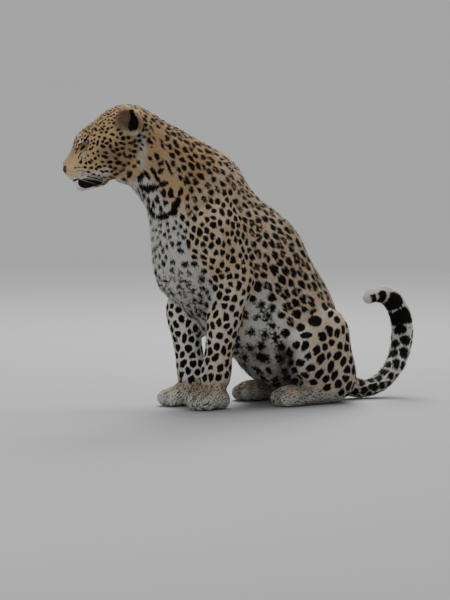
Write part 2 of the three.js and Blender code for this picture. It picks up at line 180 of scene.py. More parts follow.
def apply_modifier(piece, kind, **settings):
    make_active(piece)
    modifier = piece.modifiers.new(kind.lower(), kind)
    for key, value in settings.items():
        setattr(modifier, key, value)
    bpy.ops.object.modifier_apply(modifier=modifier.name)


def points_of(mesh):
    flat = np.empty(len(mesh.vertices) * 3)
    mesh.vertices.foreach_get("co", flat)
    return flat.reshape(-1, 3)


def normals_of(mesh):
    flat = np.empty(len(mesh.vertices) * 3)
    mesh.vertices.foreach_get("normal", flat)
    return flat.reshape(-1, 3)


def move_points(mesh, points):
    mesh.vertices.foreach_set("co", points.ravel())
    mesh.update()


def joined_copy(names, title, swell):
    copies = []
    for name in names:
        piece = nodes[name].copy()
        piece.data = nodes[name].data.copy()
        piece.parent = None
        bpy.context.scene.collection.objects.link(piece)
        shape = bmesh.new()
        shape.from_mesh(piece.data)
        bmesh.ops.remove_doubles(shape, verts=shape.verts, dist=0.01 * MM)
        shape.to_mesh(piece.data)
        shape.free()
        move_points(piece.data, points_of(piece.data) + normals_of(piece.data) * swell)
        copies.append(piece)
    deselect()
    for piece in copies:
        piece.select_set(True)
    bpy.context.view_layer.objects.active = copies[0]
    if len(copies) > 1:
        bpy.ops.object.join()
    whole = bpy.context.view_layer.objects.active
    whole.name = title
    whole.data.name = title
    for key in list(whole.keys()):
        del whole[key]
    whole.data.materials.clear()
    return whole


def cut_away(piece, point, normal):
    """Removes what lies on the side of the plane that its normal points to."""
    make_active(piece)
    bpy.ops.object.mode_set(mode="EDIT")
    bpy.ops.mesh.select_all(action="SELECT")
    bpy.ops.mesh.bisect(plane_co=point, plane_no=normal, clear_outer=True, clear_inner=False)
    bpy.ops.object.mode_set(mode="OBJECT")


def make_skin():
    body = joined_copy(FLESH, "skin", CLOSING)
    apply_modifier(body, "REMESH", mode="VOXEL", voxel_size=BODY_GRID)
    head = joined_copy(HEAD_FLESH, "head_skin", CLOSING)
    apply_modifier(head, "REMESH", mode="VOXEL", voxel_size=HEAD_GRID)
    half_gap = NECK_WAY * BODY_GRID / 2
    cut_away(body, NECK_RING - half_gap, NECK_WAY)
    cut_away(head, NECK_RING + half_gap, -NECK_WAY)
    deselect()
    head.select_set(True)
    body.select_set(True)
    bpy.context.view_layer.objects.active = body
    bpy.ops.object.join()
    bpy.ops.object.mode_set(mode="EDIT")
    bpy.ops.mesh.select_all(action="DESELECT")
    bpy.ops.mesh.select_mode(type="EDGE")
    bpy.ops.mesh.select_non_manifold(extend=False)
    bpy.ops.mesh.bridge_edge_loops()
    bpy.ops.mesh.select_all(action="SELECT")
    bpy.ops.mesh.quads_convert_to_tris()
    bpy.ops.object.mode_set(mode="OBJECT")
    drop_scraps(body)
    return body


def drop_scraps(piece):
    """Keeps the largest closed surface of a piece."""
    shape = bmesh.new()
    shape.from_mesh(piece.data)
    unseen = set(shape.verts)
    shells = []
    while unseen:
        start = unseen.pop()
        shell = [start]
        edge_of_shell = [start]
        while edge_of_shell:
            vert = edge_of_shell.pop()
            for link in vert.link_edges:
                other = link.other_vert(vert)
                if other in unseen:
                    unseen.discard(other)
                    shell.append(other)
                    edge_of_shell.append(other)
        shells.append(shell)
    shells.sort(key=len)
    for shell in shells[:-1]:
        bmesh.ops.delete(shape, geom=shell, context="VERTS")
    bmesh.ops.recalc_face_normals(shape, faces=shape.faces)
    shape.to_mesh(piece.data)
    shape.free()


# Feet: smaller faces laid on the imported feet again, with furrows between the toes

FEET = ("forepaw", "hindfoot")
PAW_SPLAY = math.radians(20)
# Where each foot's own frame stands on the floor, how far its toes turn outwards, where its
# furrows begin and how far apart they are, in millimetres; the left foot of each pair first
FOOT_FRAMES = {
    "forepaw_left": ((50, 22), PAW_SPLAY, -20, 19),
    "forepaw_right": ((-50, 12), -PAW_SPLAY, -20, 19),
    "hindfoot_left": ((88, 217), 0.0, -6, 18),
    "hindfoot_right": ((-88, 205), 0.0, -6, 18),
}
FURROW = dict(deep=5.0, wide=3.4, runs=16.0)
FOOT_REACH = 3 * MM


def split_faces(mesh, chosen, cuts):
    """Splits every edge between two chosen points."""
    shape = bmesh.new()
    shape.from_mesh(mesh)
    edges = [e for e in shape.edges if chosen[e.verts[0].index] and chosen[e.verts[1].index]]
    bmesh.ops.subdivide_edges(shape, edges=edges, cuts=cuts, use_grid_fill=True)
    bmesh.ops.triangulate(shape, faces=shape.faces)
    shape.to_mesh(mesh)
    shape.free()


def refine_feet(skin):
    mesh = skin.data
    split_faces(mesh, np.isin(kinds_of(nearest_flesh(points_of(mesh))), FEET), 1)
    points = points_of(mesh)
    owner = nearest_flesh(points)
    for name in FOOT_FRAMES:
        foot = nodes[name].data
        faces = [tuple(p.vertices) for p in foot.polygons]
        tree = BVHTree.FromPolygons([v.co[:] for v in foot.vertices], faces)
        for i in np.flatnonzero(owner == FLESH.index(name)).tolist():
            spot, normal, _, away = tree.find_nearest(points[i])
            if away < FOOT_REACH:
                points[i] = spot + normal * CLOSING
    move_points(mesh, points)


def furrow_depth(points, owner):
    """Millimetres to press in between the toes."""
    body = body_coordinates(points)
    depth = np.zeros(len(points))
    for name, ((x, y), splay, start, apart) in FOOT_FRAMES.items():
        gap_x = body[:, 0] - x
        gap_y = body[:, 1] - y
        across = gap_x * math.cos(splay) + gap_y * math.sin(splay)
        back = gap_y * math.cos(splay) - gap_x * math.sin(splay)
        nearest = np.minimum.reduce([np.abs(across - line) for line in (-apart, 0, apart)])
        furrow = np.exp(-(nearest / FURROW["wide"]) ** 2)
        furrow *= step_up(back, start, start - FURROW["runs"])
        chosen = owner == FLESH.index(name)
        depth[chosen] = (furrow * FURROW["deep"])[chosen]
    return depth


# Values kept at each point of the skin, and how many times they are spread over it

NEAR_SPREAD = 6
COAT_SPREAD = 12
WIDE_SPREAD = 14
SMOOTH_ROUNDS = 34
PUSH = 0.6  # the share of the way to its neighbours that each round moves a point
PULL = 0.58  # and back again, so that the shape doesn't shrink


class Web:
    """The edges of a mesh, to spread values from point to point along its surface."""

    def __init__(self, mesh):
        ends = np.empty(len(mesh.edges) * 2, np.int32)
        mesh.edges.foreach_get("vertices", ends)
        self.a, self.b = ends.reshape(-1, 2).T
        self.count = len(mesh.vertices)
        degree = np.bincount(ends, minlength=self.count)
        self.degree = np.maximum(degree, 1)

    def mean(self, values):
        """The mean of each point's neighbours."""
        if values.ndim == 1:
            total = np.bincount(self.a, values[self.b], self.count)
            total += np.bincount(self.b, values[self.a], self.count)
            return total / self.degree
        return np.stack([self.mean(column) for column in values.T], axis=1)

    def spread(self, values, rounds):
        for _ in range(rounds):
            values = (values + self.mean(values)) / 2
        return values


def unit(vectors):
    return vectors / np.maximum(np.linalg.norm(vectors, axis=1, keepdims=True), 1e-9)


def smooth_shape(mesh, web, share):
    """Smooths without shrinking; share is how much each point moves, from 0 to 1."""
    points = points_of(mesh)
    weight = share[:, None]
    for _ in range(SMOOTH_ROUNDS):
        points += (web.mean(points) - points) * weight * PUSH
        points -= (web.mean(points) - points) * weight * PULL
    move_points(mesh, points)


def nearest_flesh(points):
    """The flesh node nearest to each point, as its place in FLESH."""
    verts = []
    faces = []
    owner = []
    for index, name in enumerate(FLESH):
        mesh = nodes[name].data
        start = len(verts)
        verts.extend(tuple(v.co) for v in mesh.vertices)
        for polygon in mesh.polygons:
            faces.append([start + i for i in polygon.vertices])
            owner.append(index)
    tree = BVHTree.FromPolygons(verts, faces)
    return np.array([owner[tree.find_nearest(p)[2]] for p in points.tolist()])


# How the coat grows on each part: millimetres, and tufts to a square centimetre
COAT = {
    "head": dict(depth=1.4, length=5.5, width=0.8, lift=0.2, dense=26, smooth=0.2),
    "ear": dict(depth=0.8, length=5.5, width=0.9, lift=0.3, dense=22, smooth=0.2),
    "neck": dict(depth=3.4, length=10.5, width=1.35, lift=0.24, dense=12, smooth=0.9),
    "chest": dict(depth=3.6, length=10.5, width=1.4, lift=0.22, dense=10.5, smooth=0.9),
    "hips": dict(depth=3.6, length=10.5, width=1.4, lift=0.22, dense=10.5, smooth=0.7),
    "shoulder": dict(depth=3.0, length=9.5, width=1.3, lift=0.2, dense=11, smooth=0.8),
    "foreleg": dict(depth=2.2, length=8, width=1.2, lift=0.2, dense=13, smooth=0.8),
    "forepaw": dict(depth=1.4, length=5.0, width=0.9, lift=0.22, dense=22, smooth=0.1),
    "thigh": dict(depth=3.4, length=10, width=1.35, lift=0.22, dense=11, smooth=0.7),
    "hindfoot": dict(depth=1.4, length=5.5, width=0.9, lift=0.22, dense=20, smooth=0.1),
    "tail": dict(depth=3.2, length=12, width=1.4, lift=0.3, dense=13, smooth=0.6),
}
FLESH_KIND = [name.split("_")[0] for name in FLESH]


def kinds_of(owner):
    return np.array(FLESH_KIND)[owner]


def by_kind(owner, key):
    return np.array([COAT[kind][key] for kind in FLESH_KIND], float)[owner]


# The lie of the coat: lines down the body that the hair follows, left side given

HEAD_FLOWS = (
    ((0, 4, 14), (0, 30, 32), (0, 66, 60), (0, 110, 78), (0, 160, 80), (0, 200, 62)),
    ((20, 4, -14), (32, 34, -12), (46, 70, 2), (62, 112, 4), (66, 160, -10)),
    ((26, 22, -34), (46, 66, -40), (62, 104, -52), (62, 140, -96)),
    ((0, 6, -52), (0, 40, -76), (0, 90, -90), (0, 130, -126)),
    ((28, 58, 50), (44, 98, 66), (56, 140, 70), (62, 176, 50)),
)
EAR_FLOWS = (((57, 188, -8), (61, 200, 21), (68, 214, 48), (74, 226, 72)),)
TRUNK_FLOWS = (
    (
        (0, -60, 700), (0, 50, 656), (0, 160, 570), (0, 271, 467),
        (0, 374, 284), (0, 440, 150), (0, 450, 60),
    ),
    (
        (70, -120, 660), (100, 0, 580), (120, 110, 460),
        (134, 200, 340), (128, 290, 220), (110, 360, 120),
    ),
    (
        (0, -150, 620), (0, -120, 540), (0, -125, 430), (0, -70, 320), (0, 50, 230),
        (0, 150, 130), (0, 190, 40),
    ),
    ((50, -110, 560), (76, -80, 450), (70, 0, 320), (84, 110, 240), (90, 180, 130)),
)
SHOULDER_FLOWS = (((70, 20, 570), (108, 0, 470), (116, 40, 350), (98, 50, 230), (80, 26, 90)),)
FORELEG_FLOWS = (((80, 60, 380), (76, 50, 320), (64, 38, 222), (50, 22, 84), (52, 10, 50)),)
FOREPAW_FLOWS = (((50, 26, 70), (54, 6, 60), (66, -24, 44), (76, -50, 14)),)
THIGH_FLOWS = (
    ((90, 380, 230), (126, 330, 170), (134, 270, 120), (126, 240, 50)),
    ((60, 400, 180), (80, 420, 100), (80, 400, 30)),
)
HINDFOOT_FLOWS = (((80, 390, 30), (84, 300, 34), (88, 217, 30), (90, 170, 10)),)
TAIL_FLOW = (
    (0, 400, 62), (4, 446, 34), (10, 489, 22), (12, 529, 34), (5, 565, 58),
    (-10, 599, 89), (-25, 621, 128), (-35, 631, 168), (-40, 627, 211), (-40, 607, 243),
    (-35, 576, 262), (-28, 541, 263), (-22, 515, 253),
)
FLOWS = {
    "head": (on_head, HEAD_FLOWS),
    "ear": (on_head, EAR_FLOWS),
    "neck": (on_body, TRUNK_FLOWS),
    "chest": (on_body, TRUNK_FLOWS),
    "hips": (on_body, TRUNK_FLOWS),
    "shoulder": (on_body, SHOULDER_FLOWS),
    "foreleg": (on_body, FORELEG_FLOWS),
    "forepaw": (on_body, FOREPAW_FLOWS),
    "thigh": (on_body, THIGH_FLOWS),
    "hindfoot": (on_body, HINDFOOT_FLOWS),
    "tail": (on_body, (TAIL_FLOW,)),
}
STEP_ALONG_FLOW = 0.02
POINTS_AT_ONCE = 4000


def flow_samples(kind):
    """Points along a part's flow lines, on both sides, and the way of each line there."""
    place, lines = FLOWS[kind]
    places = []
    ways = []
    for line in lines:
        for side in (1, -1):
            stops = [place((x * side, y, z)) for x, y, z in line]
            if kind == "tail":
                stops = [place(stop) for stop in line]
            for start, end in zip(stops, stops[1:]):
                steps = max(1, round((end - start).length / STEP_ALONG_FLOW))
                for i in range(steps):
                    places.append(start.lerp(end, (i + 0.5) / steps))
                    ways.append((end - start).normalized())
    return np.array(places), np.array(ways)


def lie_of_coat(points, normals, owner, web):
    lie = np.zeros_like(points)
    for kind in COAT:
        chosen = np.flatnonzero(kinds_of(owner) == kind)
        places, ways = flow_samples(kind)
        for part in np.array_split(chosen, max(1, len(chosen) // POINTS_AT_ONCE)):
            away = ((points[part][:, None, :] - places[None]) ** 2).sum(2)
            weight = 1 / (away + 1e-4) ** 2
            lie[part] = weight @ ways / weight.sum(1)[:, None]
    lie = web.spread(lie, WIDE_SPREAD)
    lie -= normals * (lie * normals).sum(1)[:, None]
    return unit(lie)


def step_up(values, low, high):
    """0 below low, 1 above high, smooth between; low may be the larger."""
    t = np.clip((values - low) / (high - low), 0, 1)
    return t * t * (3 - 2 * t)


# Ground colour: how pale, red-brown and dark each point is, and the painted shade and greyness laid
# on it, apart from its marks

BELLY_WAY = np.array((0, -0.75, -0.66))
THROAT_WAY = np.array(Vector((-0.1, -0.86, -0.5)).normalized())
EAR_ROOT = Vector((57, 195, -4))
EAR_RISE = Vector((0.2, 0.42, 0.88)).normalized()
EAR_OPENS = Vector((0.84, -0.54, 0.06)).normalized()
EAR_HALF = (39, 38)
GAZE = Vector((0.62, -0.76, -0.18)).normalized()
LID_SLANT = Vector((-0.05, -0.33, 0.94))
LID_UP = (LID_SLANT - GAZE * LID_SLANT.dot(GAZE)).normalized()
LID_ALONG = LID_UP.cross(GAZE)
OPENING = (16.5, 4.6)  # half the slit between the lids, along and across
LID_CORE = 12  # half length of the line that the lids lie round
LID_THICK = 1.2
LID_FOLD_DEPTH = 1.3
LIDS_REFINED = 6  # how far round the lids the skin has smaller faces
SOCKET = 3  # how far the skin sinks into the eyeball between the lids
LIPS = ((0, 4, -36), (16, 6, -38), (32, 18, -40), (41, 40, -45), (45, 60, -50), (46, 76, -58))
TEAR_LINE = ((26, 70, 22), (21, 58, 9), (19, 44, -4))
# Lines of the face in profile, in millimetres back from the nose tip and up from it
LIP_PATCH = ((31, -54), (46, -67), (65, -66))
LID_STREAK = ((63, 35), (82, 44))
EYE_CORNER = ((84, 37), (99, 44))
CHEEK_BAND = ((74, -50), (98, -60))
NECK_PATCH = ((218, -12), (186, -84))
# The fold between belly and thigh, painted dark as shade: millimetres back and up in the body's
# frame
BELLY_FOLD = ((196, 150), (224, 52))
MOUTH_FALL = 0.27  # how far the mouth line falls for each millimetre back
FAR = 99  # stands for every point that is nowhere near the lids
# The pale rings of the tail: how far along it, from 0 to 1, and half their width
PALE_RINGS = ((0.655, 0.012), (0.765, 0.006), (0.885, 0.012), (0.955, 0.01))
GROUND_VALUES = ("pale", "red", "dark", "shade", "inner")


def mirror(vector, side):
    return Vector((vector.x * side, vector.y, vector.z))


def distance_to_line(points, stops):
    """The distance from each point to a bent line."""
    best = np.full(len(points), 1e9)
    for start, end in zip(stops, stops[1:]):
        start = np.array(start, float)
        way = np.array(end, float) - start
        t = np.clip((points - start) @ way / (way @ way), 0, 1)
        best = np.minimum(best, np.linalg.norm(points - start - t[:, None] * way, axis=1))
    return best


def ellipsoid(points, centre, half):
    """Under 1 inside an ellipsoid, given for the left side and mirrored."""
    return np.linalg.norm((folded(points) - np.array(centre)) / np.array(half), axis=1)


def ground_colour(points, normals, owner):
    kinds = kinds_of(owner)
    body = body_coordinates(points)
    side = np.where(np.array([name.endswith("right") for name in FLESH])[owner], -1.0, 1.0)
    belly = normals @ BELLY_WAY
    throat = normals @ THROAT_WAY
    inner_side = -normals[:, 0] * side
    ground = {name: np.zeros(len(points)) for name in GROUND_VALUES}
    ground["plain"] = np.zeros(len(points), bool)

    def put(kind, name, values):
        chosen = kinds == kind
        ground[name][chosen] = np.broadcast_to(values, len(points))[chosen]

    put("neck", "red", 0.22 * step_up(body[:, 2], 480, 640))
    put("neck", "pale", np.maximum(0.12, step_up(throat, 0.3, 0.72)))
    put("chest", "pale", np.maximum(0.36, step_up(belly, 0.06, 0.46)))
    put("hips", "pale", np.maximum(0.38, step_up(belly, -0.05, 0.34)))
    front_of_arm = step_up(inner_side - 0.5 * normals[:, 1], 0.25, 0.8)
    put("shoulder", "pale", np.maximum(0.34, front_of_arm))
    put("foreleg", "pale", 0.5 + 0.5 * step_up(inner_side, -0.1, 0.55))
    knee = step_up(body[:, 1] + 0.15 * body[:, 2], 285, 235)
    put("thigh", "pale", np.maximum(0.46 + 0.54 * knee, step_up(inner_side, 0.1, 0.6)))
    # Painted shade in the furrows between the toes; the hind feet greyed all over as painted shade
    # under the thighs, the forepaws greyed a little
    furrow = furrow_depth(points, owner) / FURROW["deep"]
    on_top = step_up(body[:, 2], 26, 46)
    put("hindfoot", "shade", np.maximum(0.34, 0.9 * furrow))
    put("forepaw", "shade", np.maximum(0.14, 0.9 * furrow))
    put("forepaw", "pale", 0.78 - 0.36 * on_top)
    put("forepaw", "red", 0.22 * on_top)
    put("hindfoot", "pale", 0.72 - 0.36 * on_top)

    # Painted shade: grey under the belly, partly its greyer fur and partly shade, darkest in the
    # fold between belly and thigh
    under = step_up(ellipsoid(body, (60, 150, 100), (95, 100, 74)), 1.3, 0.5)
    fold = step_up(distance_to_line(body[:, 1:], BELLY_FOLD), 26, 8)
    put("hips", "shade", np.maximum(0.5 * under, fold))
    put("thigh", "shade", np.maximum(0.32 * under, fold))
    # Painted shade: the chest greyer towards its bottom, between the forelegs
    put("chest", "shade", 0.35 * step_up(body[:, 2], 330, 240))

    paint_tail(ground, kinds == "tail", *along_tail(body, normals))
    paint_face(ground, kinds, head_coordinates(points))
    for way in (1, -1):
        paint_ear(ground, points, normals, owner, way)
    return ground


def paint_tail(ground, tail, share, outwards):
    """Broad black bands on the upper tail, white along the outer edge and tip."""
    lines = np.minimum.reduce([
        step_up(np.abs(share - at), width * 0.4, width) for at, width in PALE_RINGS
    ])
    block = np.minimum.reduce([step_up(np.abs(share - at), 0, 0.05) for at, _ in PALE_RINGS])
    under = step_up(outwards - 0.3 * block, 0.34, 0.6) * step_up(share, 0.64, 0.72)
    bands = step_up(share, 0.635, 0.65) * lines * (1 - under) * step_up(share, 0.998, 0.985)
    ground["dark"][tail] = bands[tail]
    ground["pale"][tail] = np.maximum(0.62 + 0.38 * step_up(share, 0.2, 0.5), under)[tail]
    ground["plain"] |= tail & (share > 0.64)


def paint_face(ground, kinds, head):
    profile = head[:, 1:]
    half_head = folded(head)
    at_side = step_up(half_head[:, 0], 12, 18)
    chin = step_up(head[:, 2] + 0.5 * head[:, 1], -16, -28) * step_up(head[:, 1], 66, 44)
    muzzle = 0.55 * step_up(ellipsoid(head, (22, 32, -32), (26, 36, 10)), 1.2, 0.7)
    under_eye = 0.42 * step_up(ellipsoid(head, (46, 74, 4), (16, 18, 17)), 1.2, 0.6)
    over_eye = 0.45 * step_up(ellipsoid(head, (30, 78, 54), (14, 12, 7)), 1.25, 0.5)
    streak = 0.95 * step_up(distance_to_line(profile, LID_STREAK), 3.8, 1.8) * at_side
    cheek = 0.62 * step_up(distance_to_line(profile, CHEEK_BAND), 15, 8)
    neck_patch = 0.66 * step_up(distance_to_line(profile, NECK_PATCH), 16, 9) * at_side
    pale = np.maximum.reduce([chin, muzzle, under_eye, over_eye, streak, cheek, neck_patch])
    bridge = step_up(ellipsoid(head, (0, 36, 24), (26, 52, 34)), 1.2, 0.6)

    lips = step_up(distance_to_line(half_head, LIPS), 4.2, 2.0)
    patch = step_up(distance_to_line(profile, LIP_PATCH), 15, 12) * at_side
    patch *= step_up(head[:, 2] + MOUTH_FALL * head[:, 1], -34, -36.5)
    slit, _ = around_lids(half_head)
    rim = step_up(slit, 1.42, 1.22) * step_up(head[:, 1], 114, 108)
    tear = step_up(distance_to_line(half_head, TEAR_LINE), 3.4, 1.6)
    corner = step_up(distance_to_line(profile, EYE_CORNER), 3.2, 1.6) * at_side
    leather = step_up(ellipsoid(head, (0, 1, -7), (15, 13, 13)), 1.08, 0.92)
    dark = np.maximum.reduce([lips, patch, rim, 0.75 * tear, 0.85 * corner, leather])
    dark *= 1 - streak * step_up(slit, 1.4, 1.7)

    is_head = kinds == "head"
    near_head = np.isin(kinds, ("head", "neck"))
    ground["pale"][near_head] = np.maximum(ground["pale"], pale)[near_head]
    ground["red"][is_head] = (0.16 + 0.3 * bridge)[is_head]
    # The head's grey: darker on the nose bridge, under the eyes, low on the cheek and towards the
    # bottom of the face, kept off the chin
    low_cheek = step_up(profile[:, 1], 40, -20) * step_up(profile[:, 0], 50, 110)
    grey = 0.12 + 0.16 * bridge + 0.3 * under_eye + 0.3 * step_up(profile[:, 1], -30, -70)
    grey = np.maximum(grey, 0.36 * low_cheek)
    ground["shade"][is_head] = (grey * (1 - chin))[is_head]
    ground["dark"][is_head] = np.maximum(ground["dark"], dark)[is_head]


def paint_ear(ground, points, normals, owner, way):
    """Dark hollow of painted shade, brown fur before it, a pale fringe below and a pale edge
    behind.
    """
    head = head_coordinates(points)
    local = head - np.array(mirror(EAR_ROOT, way))
    opens = mirror(EAR_OPENS, way)
    rises = mirror(EAR_RISE, way)
    rise = local @ np.array(rises)
    forward = local @ np.array(opens)
    across = local @ np.array(opens.cross(rises)) * way
    open_side = normals @ np.array(head_axes @ opens)
    edge = np.hypot(across / EAR_HALF[0], (rise - 34) / EAR_HALF[1])
    near_head = np.isin(kinds_of(owner), ("head", "neck"))
    is_ear = owner == FLESH.index("ear_left" if way > 0 else "ear_right")
    floor_of_cup = (edge < 0.85) & (np.abs(forward) < 26) & (rise > 4) & (head[:, 0] * way > 30)
    ear = is_ear | (floor_of_cup & near_head)
    inside = step_up(open_side, -0.1, 0.3)
    # Painted shade: the ear's cup darkened towards black, and greyed on its open side, where shade
    # falls inside it
    hollow = step_up(np.hypot((across + 10) / 15, (rise - 36) / 34), 1.15, 0.75)
    back_dark = step_up(open_side, -0.1, -0.45) * step_up(rise, 62, 50)
    rim = step_up(edge, 0.92, 1.02) * step_up(rise, 24, 52)
    fringe = step_up(rise, 24, 8) * inside
    dark = np.maximum(0.95 * hollow * inside * (1 - 0.6 * fringe), back_dark) * (1 - 0.9 * rim)
    ground["dark"][ear] = dark[ear]
    ground["pale"][ear] = np.maximum(0.7 * rim, 0.6 * fringe)[ear]
    ground["red"][ear] = (0.5 * (1 - rim) * (1 - 0.5 * fringe))[ear]
    ground["shade"][ear] = (0.45 * inside * (1 - rim) * (1 - fringe))[ear]
    ground["inner"][ear] = (inside * (1 - hollow) * (1 - rim) * step_up(across, -4, 10))[ear]
    ground["plain"] |= floor_of_cup & (open_side > 0)


def along_tail(body, normals):
    """How far along the tail each point is, from 0 to 1, and how far it faces out of the curl."""
    stops = np.array(TAIL_FLOW, float)
    lengths = np.concatenate([[0], np.cumsum(np.linalg.norm(np.diff(stops, axis=0), axis=1))])
    nearest = np.full(len(body), 1e9)
    share = np.zeros(len(body))
    for i, (start, end) in enumerate(zip(stops, stops[1:])):
        way = end - start
        t = np.clip((body - start) @ way / (way @ way), 0, 1)
        away = np.linalg.norm(body - start - t[:, None] * way, axis=1)
        closer = away < nearest
        nearest[closer] = away[closer]
        share[closer] = ((lengths[i] + t * (lengths[i + 1] - lengths[i])) / lengths[-1])[closer]
    from_curl = unit(body - np.array((-30, 540, 165)))
    return share, (normals * from_curl).sum(1)


def from_eye(half_head, centre):
    """How far each point lies along the lids, above them and out along the gaze."""
    local = half_head - np.array(centre)
    return local @ np.array(LID_ALONG), local @ np.array(LID_UP), local @ np.array(GAZE)


def past_lids(half_head):
    """Millimetres outside the lids, and out from the eyeball's middle, where its surface is too."""
    along, above, out = from_eye(half_head, EYE_CENTRE)
    outside = np.hypot(np.maximum(np.abs(along) - LID_CORE, 0), above) - OPENING[1]
    squared = np.maximum(EYE_RADIUS ** 2 - along ** 2 - above ** 2, (0.5 * EYE_RADIUS) ** 2)
    return np.where(out > 0, outside, FAR), out, np.sqrt(squared)


def lay_lids(mesh):
    """Draws the skin round each eye on to the eyeball, and into it between the lids."""
    head = head_coordinates(points_of(mesh))
    outside, out, surface = past_lids(folded(head))
    slit, _ = around_lids(folded(head))
    wanted = surface - SOCKET + (SOCKET + LID_THICK) * step_up(slit, 0.94, 1.12)
    share = step_up(outside, 8, 1.5)
    change = (wanted - out) * share
    side = np.where(head[:, 0] > 0, 1, -1)
    way = np.stack([GAZE.x * side, np.full(len(side), GAZE.y), np.full(len(side), GAZE.z)], 1)
    moved = head + way * change[:, None]
    move_points(mesh, moved * MM @ np.array(head_axes).T + np.array(nose_tip))


def around_lids(half_head):
    """1 at the edge of the slit between the lids, more outside, and how far above it."""
    along, above, out = from_eye(half_head, EYE_CENTRE + GAZE * EYE_RADIUS)
    slit = np.sqrt((along / OPENING[0]) ** 2 + (above / OPENING[1]) ** 2)
    return np.where(out > -EYE_RADIUS, slit, FAR), above


# Marks: spots, streaks and rosettes as ellipses in the plane of the skin. In millimetres: how
# far apart they are, half their length and width and the pale gap kept between two of them.
# sharp is how crisp their edges are.

MARKS = {
    "head": dict(pitch=7.6, along=4.3, across=3.1, gap=1.5, sharp=1.7),
    "neck": dict(pitch=16, along=12.8, across=6.8, gap=3.4, sharp=1),
    "chest": dict(pitch=20.5, along=12.8, across=9.4, gap=4, sharp=1),
    "hips": dict(pitch=23.5, along=15, across=11, gap=4.2, sharp=1),
    "shoulder": dict(pitch=17, along=10.5, across=8, gap=3.8, sharp=1),
    "foreleg": dict(pitch=18.5, along=12.5, across=9, gap=4.4, sharp=1),
    "forepaw": dict(pitch=5.6, along=3.4, across=1.2, gap=1, sharp=1.8),
    "thigh": dict(pitch=23, along=14.5, across=11.5, gap=4.6, sharp=1),
    "hindfoot": dict(pitch=5.6, along=3.8, across=1.1, gap=1, sharp=1.8),
    "tail": dict(pitch=19, along=13.5, across=12.5, gap=3, sharp=1),
    "ear": dict(pitch=20, along=5, across=5, gap=2, sharp=1),
}
NECK_MARK_TURN = 0.4  # the streaks of the neck fall towards the throat
NEIGHBOURS = [(x, y, z) for x in (-1, 0, 1) for y in (-1, 0, 1) for z in (-1, 0, 1)]
# How far from a mark its distance is told, in millimetres, and how near to a placed mark
# another may be thrown, at most and as a share of the pitch
MARK_REACH = 9
CORE_REACH = 4
PLACED_REACH = 20
PLACED_ROOM = 15
CLOSE_ROOM = 0.5
BODY_ROOM = 0.72
RINGED_SHARE = 0.4
LOBED_FROM = 3.5 * MM  # spots less than this wide have no lobes
CELL = 0.03  # the skin is searched in boxes of this size, in metres


class Marks:
    """Groups of ellipses that lie in the skin, each with its axes and half sizes."""

    def __init__(self):
        self.groups = []

    def begin(self):
        self.groups.append([])

    def add(self, centre, normal, way, along, across, turn=0.0):
        cross = np.cross(normal, way)
        a = way * math.cos(turn) + cross * math.sin(turn)
        b = cross * math.cos(turn) - way * math.sin(turn)
        self.groups[-1].append((centre, normal, a, b, along, across))


class Spot:
    """One thrown spot, as a ring of four or five or as a blotch with up to two lobes."""

    def __init__(self, centre, normal, way, long, wide):
        self.centre = centre
        self.normal = normal
        self.way = way
        self.cross = np.cross(normal, way)
        self.long = long
        self.wide = wide

    def add_around(self, marks, angle, out, long, wide, sway):
        """Adds an ellipse a share out from the middle, turned by up to sway either way."""
        along = self.way * math.cos(angle) * self.long * out
        across = self.cross * math.sin(angle) * self.wide * out
        turn = chance.uniform(-sway, sway)
        place = self.centre + along + across
        marks.add(place, self.normal, self.way, self.long * long, self.wide * wide, turn)

    def add_ring(self, marks):
        count = int(chance.integers(4, 6))
        first = chance.uniform(0, 2 * math.pi)
        for k in range(count):
            self.add_around(marks, first + 2 * math.pi * k / (count + 0.6), 0.68, 0.46, 0.5, 0.5)

    def add_lobes(self, marks):
        if self.wide > LOBED_FROM:
            for _ in range(int(chance.integers(0, 3))):
                self.add_around(marks, chance.uniform(0, 2 * math.pi), 0.55, 0.6, 0.6, 0.8)


def thrown_seeds(points, normals, pitch, allowed):
    """Points of the skin that keep their own pitch from one another."""
    cell = pitch[allowed].max()
    taken = {}
    seeds = []
    order = chance.permutation(np.flatnonzero(allowed))
    keys = np.floor(points / cell).astype(int)
    for i in order.tolist():
        x, y, z = keys[i]
        near = False
        for key in NEIGHBOURS:
            for j in taken.get((x + key[0], y + key[1], z + key[2]), ()):
                if normals[i] @ normals[j] > 0.1:
                    gap = points[i] - points[j]
                    if gap @ gap < (pitch[i] * pitch[j]):
                        near = True
                        break
            if near:
                break
        if not near:
            taken.setdefault((x, y, z), []).append(i)
            seeds.append(i)
    return seeds


# Marks that this animal has and another would not: where the camera sees them in the picture,
# half lengths in millimetres and their slant from level
BODY_MARKS = (
    (152, 188, 17, 10, 10), (163, 185, 13, 7.5, 20), (152, 212, 20, 11, -35),
    (163, 217, 20, 9.5, 8), (176, 205, 20, 10, 62), (181, 193, 12, 7, 75), (170, 214, 8, 6, 30),
    (315, 321, 20, 15, 20), (306, 336, 17, 9, 15), (312, 310, 14, 7, 35),
    (262, 357, 20, 15, -20), (250, 331, 13, 9, 0), (243, 368, 13, 8, 10), (257, 318, 11, 8, 30),
    (185, 264, 11, 7, 10), (194, 263, 10, 7, -20), (204, 271, 10, 8, -20),
    (201, 279, 10, 9, 60), (181, 251, 10, 6, -15), (173, 214, 14, 8.5, 15),
    (145, 189, 18, 10, -62), (141, 178, 18, 8, 75), (148, 176, 15, 5.5, -62),
    (154, 173, 14, 5.5, -58), (159, 179, 12, 5.5, -52), (163, 146, 16, 4, -65),
    (170, 170, 20, 4, -62), (158, 128, 10, 4.5, -50),
)
FACE_MARK_GROWTH = 1.22
